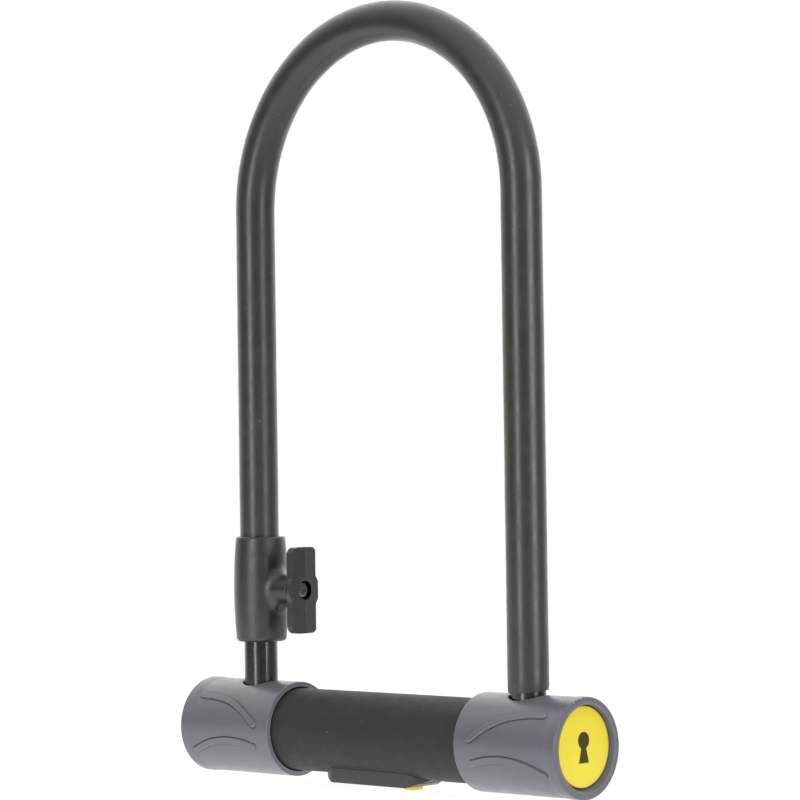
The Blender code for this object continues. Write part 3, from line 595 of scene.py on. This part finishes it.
def make_bar():
    foot = BAR_BOX[0].z
    points, outward = shackle_route(foot, foot)
    count = len(points)
    radii = np.full(count, BAR_R)
    radii[0] = radii[-1] = BAR_R - BAR_CHAMFER
    points[1][2] = points[-2][2] = foot + BAR_CHAMFER
    bar = skin("steel_bar", shackle_rings(points, outward, radii, 64), ends=True)
    notches = []
    for sign in (-1, 1):
        inner, outer = LEG_X - BAR_R - BEYOND, LEG_X - BAR_R + NOTCH_DEPTH
        low_x, high_x = sorted((sign * inner, sign * outer))
        low = (low_x, -NOTCH_HALF, NOTCH_Z[0])
        high = (high_x, NOTCH_HALF, NOTCH_Z[1])
        notches.append(box_piece("notch", low, high))
    combine(bar, notches)
    keep(bar, BAR_LOOK, "shackle", ["shackle_bar"])


# ---- Crossbar ----


def smooth_line(points, steps):
    """Points on the smooth (Catmull-Rom) line through points, steps to each stretch."""
    points = [np.array(p, float) for p in points]
    ends = [2 * points[0] - points[1], *points, 2 * points[-1] - points[-2]]
    found = []
    for before, start, end, after in zip(ends, ends[1:], ends[2:], ends[3:]):
        for t in np.arange(steps) / steps:
            found.append(
                start
                + (end - before) * (t / 2)
                + (2 * before - 5 * start + 4 * end - after) * (t * t / 2)
                + (3 * start - before - 3 * end + after) * (t**3 / 2)
            )
    return np.array([*found, points[-1]])


def step(value, low, high):
    """0 below low, 1 above high, smooth between."""
    t = np.clip((value - low) / (high - low), 0, 1)
    return t * t * (3 - 2 * t)


def rib_height(x, angle):
    """How far the cap stands up by its ribs, which have flat tops and sloped sides. A fine
    groove runs along each rib's foot, deeper on the side of the field between the two."""
    height = np.zeros_like(x)
    # The back has the same ribs as the front.
    folded = np.where(np.abs(angle) > math.pi / 2, np.sign(angle) * math.pi - angle, angle)
    for line, field_side in ((RIB_UPPER, -1), (RIB_LOWER, 1)):
        route = smooth_line(line, 14)
        rx, ry = route[:, 0], np.radians(route[:, 1]) * CAP_R
        nearest = np.full(x.shape, 1.0)
        beside = np.zeros_like(x)
        for px, py in zip(rx, ry):
            away = np.hypot(x - px, folded * CAP_R - py)
            beside = np.where(away < nearest, field_side * (folded * CAP_R - py), beside)
            nearest = np.minimum(nearest, away)
        rib = RIB_HEIGHT * (1 - step(nearest, RIB_HALF - RIB_SLOPE, RIB_HALF))
        from_groove = np.abs(nearest - RIB_HALF - 0.7 * RIB_GROOVE_HALF)
        groove = RIB_GROOVE * (1 - step(from_groove, 0, RIB_GROOVE_HALF))
        height += rib - groove * np.clip(beside / RIB_HALF, 0.25, 1)
    return height


def cap_radius(x):
    """The cap's outer radius: a hair slimmer than the rim, with both ends rounded."""
    inner_x, outer_x = CAP_BOX[0].x, CAP_BOX[1].x
    widens = step(x, outer_x - CAP_RIM_FROM[0], outer_x - CAP_RIM_FROM[1])
    radius = CAP_R - CAP_WAIST * (1 - widens)
    inner_round, outer_round = CAP_INNER_ROUND, CAP_OUTER_ROUND
    t = np.clip((inner_x + inner_round - x) / inner_round, 0, 1)
    radius -= inner_round * (1 - np.sqrt(1 - t * t))
    t = np.clip((x - outer_x + outer_round) / outer_round, 0, 1)
    return radius - outer_round * (1 - np.sqrt(1 - t * t))


def make_cap():
    inner_x, outer_x = CAP_BOX[0].x, CAP_BOX[1].x
    floor_x = BADGE_BOX[0].x - GAP
    edges = inner_x + CAP_INNER_ROUND * (1 - np.cos(np.linspace(0, math.pi / 2, 6)))
    body_end = outer_x - CAP_OUTER_ROUND - 0.0001
    body = np.arange(edges[-1] + CAP_ROW_STEP, body_end, CAP_ROW_STEP)
    rim = outer_x - CAP_OUTER_ROUND * (1 - np.sin(np.linspace(0, math.pi / 2, 9)))
    outer = [(x, float(cap_radius(np.array(x)))) for x in np.concatenate([edges, body, rim])]
    cover_bore, tube_bore = COVER_R + GAP, TUBE_R + GAP
    step_x = COVER_BOX[1].x + 0.0008
    end_x = TUBE_BOX[1].x + GAP
    dish = [
        (outer_x, DISH_MOUTH_R + 0.0003),
        (outer_x - 0.0001, DISH_MOUTH_R + 0.0001),
        (outer_x - 0.0003, DISH_MOUTH_R),
        (floor_x + 0.0004, DISH_FLOOR_R + 0.00015),
        (floor_x + 0.0001, DISH_FLOOR_R),
        (floor_x, DISH_FLOOR_R - 0.0003),
        (floor_x, AXIS_R),
    ]
    bore = [
        (end_x, AXIS_R),
        (end_x, tube_bore),
        (step_x, tube_bore),
        (step_x, cover_bore),
        (inner_x + 0.0004, cover_bore),
        (inner_x, cover_bore + 0.0003),
    ]
    profile = bore + outer + dish
    angles = np.radians(np.arange(0.0, 360.0, CAP_COLUMN_STEP))
    x = np.array([p[0] for p in profile])[:, None] + 0 * angles[None, :]
    radius = np.array([p[1] for p in profile])[:, None] + 0 * angles[None, :]
    # Angles above the front, from -180 to 180 degrees
    wrapped = (angles + math.pi) % (2 * math.pi) - math.pi
    turn = np.broadcast_to(wrapped[None, :], x.shape)
    row = np.arange(len(profile))[:, None]
    on_side = (row >= len(bore)) & (row < len(bore) + len(outer))
    radius = radius + np.where(on_side, rib_height(x, turn), 0)
    # The leg hole's lip is rounded.
    y = -radius * np.cos(turn)
    from_leg = np.where(np.sin(turn) > 0, np.hypot(x - LEG_X, y), 1.0)
    t = np.clip((CAP_HOLE_R + HOLE_LIP - from_leg) / HOLE_LIP, 0, 1)
    radius = radius - np.where(on_side, HOLE_LIP_DEPTH * (1 - np.sqrt(1 - t * t)), 0)
    rings = np.stack([x, -radius * np.cos(turn), AXIS_Z + radius * np.sin(turn)], axis=-1)
    # The dish's floor, all but the three rows of its mouth, sits a little above their middle.
    on_floor = row >= len(bore) + len(outer) + 3
    rings[:, :, 2] += np.where(on_floor, BADGE_RAISE, 0)
    cap = skin("cap_right", rings, ends=True)
    hole_rows = [(AXIS_Z, CAP_HOLE_R), (AXIS_Z + 0.03, CAP_HOLE_R)]
    combine(cap, [revolved("hole", hole_rows, "Z", (LEG_X, 0, 0))])
    twin = half_turned(cap, "cap_left")
    keep(cap, CAP_LOOK, "crossbar", ["end_cap_right"])
    keep(twin, CAP_LOOK, "crossbar", ["end_cap_left"])


def keyhole_outline():
    """A plain keyhole: a round head on a flared foot, in the badge's plane (Y, Z)."""
    head_r, head_z = 0.0029, 0.0022
    neck_half = 0.0013
    foot_half, foot_z = 0.0026, -0.0054
    start = -90 + math.degrees(math.asin(neck_half / head_r))
    points = arc_points((0, head_z), head_r, start, 180 - start, 36)
    return points + [(-foot_half, foot_z), (foot_half, foot_z)]


def make_badge():
    low, high = BADGE_BOX[0].x, BADGE_BOX[1].x
    radius = BADGE_R - BADGE_INSET
    edge = 0.0003
    rows = [(low, AXIS_R), (low, radius - 0.0001), (low + 0.0001, radius)]
    rows += [
        (high - BADGE_CROWN - edge + edge * math.sin(t), radius - edge + edge * math.cos(t))
        for t in np.linspace(0, math.pi / 2, 5)
    ]
    rows += [
        (high - BADGE_CROWN * (r / (radius - edge)) ** 2, r)
        for r in np.linspace(radius - edge, AXIS_R, 14)[1:]
    ]
    badge = revolved("badge_right", rows, "X", (0, 0, AXIS_Z + BADGE_RAISE), 128)
    twin = half_turned(badge, "badge_left")
    outline = [(y, AXIS_Z + BADGE_RAISE + z) for y, z in keyhole_outline()]
    sunk, proud = 0.0004, 0.00006
    mark = prism("badge_keyhole_right", outline, (high - sunk, high + proud), "X")
    mark_twin = half_turned(mark, "badge_keyhole_left")
    keep(badge, BADGE_LOOK, "crossbar", ["badge_disc_right"])
    keep(twin, BADGE_LOOK, "crossbar", ["badge_disc_left"])
    for piece in (mark, mark_twin):
        keep(piece, PRINT_LOOK, "crossbar")


def pointed_bar(box, inset=0.0):
    """The shroud's outline from above: straight sides and blunt points."""
    radius = half(box, 1) - inset
    sides = (box[0].x + half(box, 1), box[1].x - half(box, 1))
    power = 2 / SHROUD_POINT
    found = []
    for centre, start in ((sides[1], -90), (sides[0], 90)):
        for turn in np.radians(np.linspace(start, start + 180, 41)):
            along, across = math.cos(turn), math.sin(turn)
            x = centre + radius * math.copysign(abs(along) ** power, along)
            found.append((x, radius * math.copysign(abs(across) ** power, across)))
    return found


def make_cover():
    half_x = COVER_BOX[1].x
    edge = 0.0002
    inner = TUBE_R + GAP
    rows = [(-half_x, inner), (-half_x, COVER_R - edge), (-half_x + edge, COVER_R)]
    along = np.linspace(-half_x + 0.002, half_x - 0.002, 60)
    waver = uneven(len(along), 0.11, COVER_WAVER)
    rows += [(x, COVER_R + w) for x, w in zip(along, waver)]
    rows += [(half_x - edge, COVER_R), (half_x, COVER_R - edge), (half_x, inner)]
    cover = revolved("vinyl_cover", rows, "X", (0, 0, AXIS_Z), 144, ring=True)
    outline = pointed_bar(SHROUD_BOX, COVER_OPENING_INSET)
    combine(cover, [prism("opening", outline, (AXIS_Z - 0.02, AXIS_Z - 0.005), "Z")])
    keep(cover, COVER_LOOK, "crossbar", ["crossbar_cover"])


# ---- Keyway shroud and dust cover ----


def make_shroud():
    low_x, high_x = SHROUD_BOX[0].x, SHROUD_BOX[1].x
    bottom = SHROUD_BOX[0].z
    run, rise = SHROUD_SLOPE
    up = bottom + rise * (1 + BEYOND / run)
    outline = pointed_bar(SHROUD_BOX)
    shroud = prism("shroud", outline, (bottom - BEYOND, AXIS_Z - 0.009), "Z")
    side = [
        (low_x - BEYOND, AXIS_Z - 0.005),
        (low_x - BEYOND, up),
        (low_x + run, bottom),
        (high_x - run, bottom),
        (high_x + BEYOND, up),
        (high_x + BEYOND, AXIS_Z - 0.005),
    ]
    combine(shroud, [prism("side", side, (-0.012, 0.012), "Y")], "INTERSECT")
    rounded(shroud, 0.0008, 4, 30.0)
    saddle_r = COVER_R + 0.0001
    channel_half = half(SLIDER_BOX, 1) + GAP
    cutters = [
        revolved("saddle", [(-0.05, saddle_r), (0.05, saddle_r)], "X", (0, 0, AXIS_Z), 180),
        box_piece(
            "channel",
            (CHANNEL_X[0], -channel_half, CHANNEL_FLOOR),
            (CHANNEL_X[1], channel_half, AXIS_Z - 0.005),
        ),
        box_piece(
            "slot",
            (SLOT_X[0], -SLOT_HALF, AXIS_Z - 0.02),
            (SLOT_X[1], SLOT_HALF, AXIS_Z - 0.012),
        ),
    ]
    combine(shroud, cutters)
    keep(shroud, SHROUD_LOOK, "crossbar", ["keyway_shroud"])


def make_slider():
    low, high = SLIDER_BOX
    plate = box_piece("yellow_slider", (low.x, low.y, SLIDER_PLATE_Z), (high.x, high.y, high.z))
    rounded(plate, 0.00025, 2)
    nub_top = SLIDER_PLATE_Z + 0.0005
    nub = box_piece("nub", (NUB_X[0], -NUB_HALF, low.z), (NUB_X[1], NUB_HALF, nub_top))
    rounded(nub, 0.0008, 4)
    combine(plate, [nub], "UNION")
    window_low = (WINDOW_X[0], -NUB_HALF, -0.01)
    cutters = [box_piece("window", window_low, (WINDOW_X[1], NUB_HALF, AXIS_Z))]
    grip_rows = [(-0.004, NUB_GRIP_R), (0.004, NUB_GRIP_R)]
    for x in np.linspace(NUB_X[0] + NUB_GRIP_INSET, NUB_X[1] - NUB_GRIP_INSET, 4):
        cutters.append(revolved("groove", grip_rows, "Y", (x, 0, low.z - 0.0002), 24))
    combine(plate, cutters)
    keep(plate, YELLOW_LOOK, "dust_cover", ["dust_cover_slider"])


# ---- Frame bracket ----


def barrel_radius(z):
    half_height = half(COLLAR_BOX, 2)
    return COLLAR_MID_R - COLLAR_BULGE * ((z - COLLAR_MID) / half_height) ** 2


def barrel_rows():
    low, high = COLLAR_BOX[0].z, COLLAR_BOX[1].z
    top_edge, low_edge = 0.0005, 0.0013
    start, end = low + low_edge, high - top_edge
    centre_r = barrel_radius(start) - low_edge
    rows = [(low, AXIS_R)]
    for t in np.linspace(-math.pi / 2, 0, 8):
        rows.append((start + low_edge * math.sin(t), centre_r + low_edge * math.cos(t)))
    rows += [(z, barrel_radius(z)) for z in np.linspace(start, end, 40)[1:]]
    centre_r = barrel_radius(end) - top_edge
    for t in np.linspace(0, math.pi / 2, 5)[1:]:
        rows.append((end + top_edge * math.sin(t), centre_r + top_edge * math.cos(t)))
    return rows + [(high, AXIS_R)]


def neck_skin():
    """The neck to the tee, with the fillet by which it leaves the barrel."""
    sides = 96
    y, z = circle(1.0, sides)
    none = np.zeros(sides)
    across = NECK_R + NECK_FILLET
    reach = barrel_radius(COLLAR_MID + across * z) + NECK_FILLET
    run = np.sqrt(reach**2 - (across * y) ** 2)
    centre = np.stack([COLLAR_X + run, across * y, across * z], axis=-1)
    to_neck = np.stack([none, -y, -z], axis=-1)
    to_barrel = np.stack([-run, -across * y, none], axis=-1)
    to_barrel /= np.linalg.norm(to_barrel, axis=-1, keepdims=True)
    turn = np.arccos(np.sum(to_neck * to_barrel, axis=-1, keepdims=True))
    end_x = np.full(sides, COLLAR_BOX[1].x)
    rings = [np.stack([end_x, NECK_R * y, NECK_R * z], axis=-1)]
    for t in np.linspace(0, 0.97, 20):
        way = (np.sin((1 - t) * turn) * to_neck + np.sin(t * turn) * to_barrel) / np.sin(turn)
        rings.append(centre + NECK_FILLET * way)
    rings.append(rings[-1] + 0.002 * to_barrel)
    return skin("neck", np.array(rings) + np.array([0, 0, COLLAR_MID]), ends=True)


def evened(obj, voxel, rounds):
    """Remeshes a joined piece finely and smooths it a little, so that its joints don't show."""
    remesh = obj.modifiers.new("even", "REMESH")
    remesh.mode = "VOXEL"
    remesh.voxel_size = voxel
    smooth = obj.modifiers.new("smooth", "SMOOTH")
    smooth.factor = 0.5
    smooth.iterations = rounds
    return applied(obj, 60.0)


def make_collar():
    collar = revolved("collar", barrel_rows(), "Z", (COLLAR_X, 0, 0), 120)
    combine(collar, [neck_skin()], "UNION")
    evened(collar, 0.0003, 6)
    bore_r = SLEEVE_R + GAP
    groove_r = half(RING_BOX, 1) + GAP
    ring_z = (RING_BOX[0].z - GAP, RING_BOX[1].z + GAP)
    leg = (-LEG_X, 0, 0)
    low, high = COLLAR_BOX[0].z, COLLAR_BOX[1].z
    pocket = half(NUT_BOX, 1) + GAP
    bore_rows = [
        (low - 0.01, bore_r + 0.0004),
        (low + 0.0001, bore_r + 0.0004),
        (low + 0.0006, bore_r),
        (ring_z[0], bore_r),
        (ring_z[0], groove_r),
        (ring_z[1], groove_r),
        (ring_z[1], bore_r),
        (high - 0.0003, bore_r),
        (high - 0.0001, bore_r + 0.0002),
        (high + 0.01, bore_r + 0.0002),
    ]
    screw_hole = [(SCREW_BOX[0].x - GAP, SCREW_R + GAP), (COUNTERBORE_X, SCREW_R + GAP)]
    cutters = [
        revolved("bore", bore_rows, "Z", leg, 96),
        revolved("screw_hole", screw_hole, "X", (0, 0, COLLAR_MID), 48),
        box_piece(
            "pocket",
            (NUT_BOX[0].x - GAP, -pocket, low - BEYOND),
            (NUT_BOX[1].x + GAP, pocket, COLLAR_MID + pocket),
        ),
    ]
    combine(collar, cutters, sharp=50.0)
    keep(collar, BRACKET_LOOK, "bracket", ["bracket_collar"])


def tee_outline():
    """A rectangle with round corners, as (Y, Z)."""
    half_y, half_z = TEE_HALF
    found = []
    for quarter, (side_y, side_z) in enumerate([(1, 1), (-1, 1), (-1, -1), (1, -1)]):
        centre = (side_y * (half_y - TEE_CORNER), COLLAR_MID + side_z * (half_z - TEE_CORNER))
        found += arc_points(centre, TEE_CORNER, 90 * quarter, 90 * quarter + 90, 10)
    return found


def behind_ridge(name, half_width, chamfer):
    """The space behind the tee's ridged front, with its two side edges chamfered."""
    ridge = TEE_BOX[1].x
    flat = half_width - chamfer
    front = ridge - (ridge - TEE_EDGE_X) * flat / TEE_HALF[0]
    side = front - chamfer - BEYOND
    wide, back = half_width + BEYOND, TEE_BACK_X - BEYOND
    outline = [(back, -wide), (side, -wide), (front, -flat)]
    outline += [(ridge, 0), (front, flat), (side, wide), (back, wide)]
    reach = TEE_HALF[1] + BEYOND
    return prism(name, outline, (COLLAR_MID - reach, COLLAR_MID + reach), "Z")


def make_tee():
    back, ridge = TEE_BACK_X, TEE_BOX[1].x
    front = ridge + BEYOND
    centre = (0, 0, COLLAR_MID)
    tee = prism("tee", tee_outline(), (back, front), "X")
    plate_front = behind_ridge("plate_front", TEE_HALF[0], TEE_CHAMFER)
    combine(tee, [plate_front], "INTERSECT", TEE_SHARP)
    rounded(tee, 0.00028, 3, 25.0, TEE_SHARP)
    # A thin parting line runs down the ridge.
    line = revolved("line", [(-TEE_HALF[1], TEE_BEAD_R), (TEE_HALF[1], TEE_BEAD_R)], "Z", sides=16)
    line.data.transform(Matrix.Translation((ridge - 0.00008, 0, COLLAR_MID)))
    hub_rows = [(back + 0.0004, AXIS_R), (back + 0.0004, HUB_R - 0.0004)]
    hub_rows += [(back + 0.0008, HUB_R), (front, HUB_R), (front, AXIS_R)]
    hub = revolved("hub", hub_rows, "X", centre, 96)
    combine(hub, [behind_ridge("hub_front", HUB_R, TEE_CHAMFER)], "INTERSECT", TEE_SHARP)
    boss_x = TEE_BOX[0].x
    boss_rows = [(boss_x, AXIS_R), (boss_x, NECK_R - 0.0003), (boss_x + 0.0003, NECK_R)]
    boss_rows += [(back + BEYOND, NECK_R), (back + BEYOND, AXIS_R)]
    boss = revolved("boss", boss_rows, "X", centre)
    combine(tee, [line, hub, boss], "UNION", TEE_SHARP)
    hole_rows = [
        (COUNTERBORE_X, SCREW_HOLE_R),
        (ridge - 0.0004, SCREW_HOLE_R),
        (ridge + 0.0001, SCREW_HOLE_R + 0.0004),
        (ridge + 0.002, SCREW_HOLE_R + 0.0004),
    ]
    through = [(boss_x - 0.002, SCREW_R + GAP), (COUNTERBORE_X + BEYOND, SCREW_R + GAP)]
    cutters = [
        revolved("counterbore", hole_rows, "X", centre, 72),
        revolved("through", through, "X", centre, 48),
    ]
    combine(tee, cutters, sharp=TEE_SHARP)
    keep(tee, BRACKET_LOOK, "tee", ["bracket_tee"])


def make_screw():
    centre = (0, 0, COLLAR_MID)
    tail, front = SCREW_BOX[0].x, SCREW_BOX[1].x
    head_r = half(SCREW_BOX, 1)
    back = front - SCREW_HEAD
    crown = 0.0005
    rows = [(tail, AXIS_R), (tail, SCREW_R - 0.0003), (tail + 0.0003, SCREW_R)]
    rows += [(back, SCREW_R), (back, head_r - 0.0001), (back + 0.0001, head_r)]
    rows += [
        (front - crown + crown * math.sin(t), head_r - crown + crown * math.cos(t))
        for t in np.linspace(0, math.pi / 2, 7)
    ]
    rows.append((front, AXIS_R))
    screw = revolved("socket_screw", rows, "X", centre, 72)
    socket = [(front - SOCKET_DEPTH, SOCKET_R), (front + BEYOND, SOCKET_R)]
    combine(screw, [revolved("socket", socket, "X", centre, 6)])
    keep(screw, BLACKED_LOOK, "bracket", ["bracket_screw"])


# ---- CAD pieces that stay as they are, with a better material ----

CARRIED = {
    "crossbar_tube": TUBE_LOOK,
    "end_plug_left": HARD_LOOK,
    "end_plug_right": HARD_LOOK,
    "end_plug_pin_left": PLATED_LOOK,
    "end_plug_pin_right": PLATED_LOOK,
    "bolt_guide_left": NATURAL_LOOK,
    "bolt_guide_right": NATURAL_LOOK,
    "lock_housing": BRASS_LOOK,
    "housing_pin": PLATED_LOOK,
    "anti_drill_plate": HARD_LOOK,
    "cylinder_plug": BRASS_LOOK,
    "sidebar": PLATED_LOOK,
    "scroll_cam": HARD_LOOK,
    "bolt_left": HARD_LOOK,
    "bolt_right": HARD_LOOK,
    "friction_ring": RUBBER_LOOK,
    "bracket_washer": PLATED_LOOK,
    "bracket_nut": PLATED_LOOK,
}


def finish_carried():
    for name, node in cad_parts.items():
        look = PLATED_LOOK if name.startswith("detainer_disc") else CARRIED.get(name)
        if look is not None:
            node.data.materials.clear()
            node.data.materials.append(look)


# ---- Studio ----


def seen_from_camera(right, away, up):
    """A direction given by the camera's level axes, as one in the object's frame."""
    turned = Matrix.Rotation(VIEW_TURN, 3, "Z") @ Vector((right, away, up))
    return tuple(turned.normalized())


def lobed(tree, lobes, source, reach, base=0.0):
    """A strength: a base, and more where a socket's vector reaches along each lobe."""
    total = tree.nodes.new("ShaderNodeValue").outputs["Value"]
    total.default_value = base
    for direction, strength in lobes:
        along = tree.nodes.new("ShaderNodeVectorMath")
        along.operation = "DOT_PRODUCT"
        along.inputs[1].default_value = seen_from_camera(*direction)
        tree.links.new(source, along.inputs[0])
        level = tree.nodes.new("ShaderNodeMapRange")
        level.interpolation_type = "SMOOTHSTEP"
        level.inputs["From Max"].default_value = reach
        level.inputs["To Max"].default_value = strength
        tree.links.new(along.outputs["Value"], level.inputs["Value"])
        both = tree.nodes.new("ShaderNodeMath")
        tree.links.new(total, both.inputs[0])
        tree.links.new(level.outputs["Result"], both.inputs[1])
        total = both.outputs["Value"]
    return total


def seen_or_given(tree, seen, given, out):
    """Shows the camera one shader, and lights the object with another."""
    path = tree.nodes.new("ShaderNodeLightPath")
    mix = tree.nodes.new("ShaderNodeMixShader")
    tree.links.new(path.outputs["Is Camera Ray"], mix.inputs["Fac"])
    tree.links.new(given, mix.inputs[1])
    tree.links.new(seen, mix.inputs[2])
    tree.links.new(mix.outputs["Shader"], out.inputs["Surface"])


def make_floor():
    bm = bmesh.new()
    bmesh.ops.create_grid(bm, x_segments=8, y_segments=8, size=FLOOR_HALF)
    bmesh.ops.translate(bm, verts=bm.verts, vec=(0, 0, -GAP))
    floor = to_object("studio_floor", bm)
    made = Surface("studio_white", 0.9, specular=0.0)
    made.colour((0.12, 0.12, 0.12))
    made.shader.inputs["Emission Color"].default_value = (1, 1, 1, 1)
    made.shader.inputs["Emission Strength"].default_value = FLOOR_SEEN
    glow = made.add("ShaderNodeEmission")
    given = lobed(made.tree, FLOOR_LOBES, made.place, FLOOR_LOBE_REACH, FLOOR_GLOW)
    distance = made.add("ShaderNodeVectorMath", operation="LENGTH")
    made.link(made.place, distance.inputs[0])
    spot = made.ramp(distance.outputs["Value"], *FLOOR_SPOT_R, FLOOR_SPOT, 0.0)
    both = made.add("ShaderNodeMath")
    made.link(given, both.inputs[0])
    made.link(spot, both.inputs[1])
    made.link(both.outputs["Value"], glow.inputs["Strength"])
    out = made.tree.nodes["Material Output"]
    seen_or_given(made.tree, made.shader.outputs["BSDF"], glow.outputs["Emission"], out)
    floor.data.materials.append(made.material)


def make_world():
    world = bpy.data.worlds.new("studio")
    bpy.context.scene.world = world
    world.use_nodes = True
    tree = world.node_tree
    tree.nodes.clear()
    seen = tree.nodes.new("ShaderNodeBackground")
    seen.inputs["Color"].default_value = (1, 1, 1, 1)
    lit = tree.nodes.new("ShaderNodeBackground")
    lit.inputs["Color"].default_value = (*WORLD_TINT, 1)
    place = tree.nodes.new("ShaderNodeTexCoord").outputs["Generated"]
    strength = lobed(tree, WORLD_LOBES, place, WORLD_LOBE_REACH)
    tree.links.new(strength, lit.inputs["Strength"])
    out = tree.nodes.new("ShaderNodeOutputWorld")
    seen_or_given(tree, seen.outputs["Background"], lit.outputs["Background"], out)


def soft_box(name, turn, size, power):
    """A soft box turn degrees round the object from the camera, to its left if negative."""
    data = bpy.data.lights.new(name, "AREA")
    data.shape = "RECTANGLE"
    data.size, data.size_y = size
    data.energy = power
    light = bpy.data.objects.new(name, data)
    bpy.context.scene.collection.objects.link(light)
    angle = VIEW_TURN + math.radians(turn)
    place = Vector(
        (BOX_DISTANCE * math.sin(angle), -BOX_DISTANCE * math.cos(angle), BOX_HEIGHT)
    )
    light.location = place
    toward = Vector((0, 0, BOX_AIM_Z)) - place
    light.rotation_euler = toward.to_track_quat("-Z", "Y").to_euler()


def make_lights():
    soft_box("left_box", -40, (0.34, 1.0), 8.0)
    soft_box("right_box", 46, (0.50, 1.0), 9.5)


def make_camera():
    data = bpy.data.cameras.new("camera")
    data.sensor_width = 36.0
    data.lens = VIEW_LENS
    camera = bpy.data.objects.new("camera", data)
    bpy.context.scene.collection.objects.link(camera)
    right = Vector((math.cos(VIEW_TURN), math.sin(VIEW_TURN), 0))
    level = Vector((-math.sin(VIEW_TURN), math.cos(VIEW_TURN), 0))
    forward = level * math.cos(VIEW_PITCH) + Vector((0, 0, math.sin(VIEW_PITCH)))
    up = right.cross(forward)
    across = right * math.cos(VIEW_ROLL) + up * math.sin(VIEW_ROLL)
    upward = up * math.cos(VIEW_ROLL) - right * math.sin(VIEW_ROLL)
    place = -level * VIEW_DISTANCE + right * VIEW_ASIDE
    place.z = VIEW_ABOVE_AXIS + AXIS_Z
    turn = Matrix((across, upward, -forward)).transposed()
    camera.matrix_world = Matrix.Translation(place) @ turn.to_4x4()
    bpy.context.scene.camera = camera


make_sleeve()
make_bar()
make_cap()
make_badge()
make_cover()
make_shroud()
make_slider()
make_collar()
make_tee()
make_screw()
finish_carried()
make_floor()
make_world()
make_lights()
make_camera()
bpy.context.scene.view_settings.view_transform = "Standard"
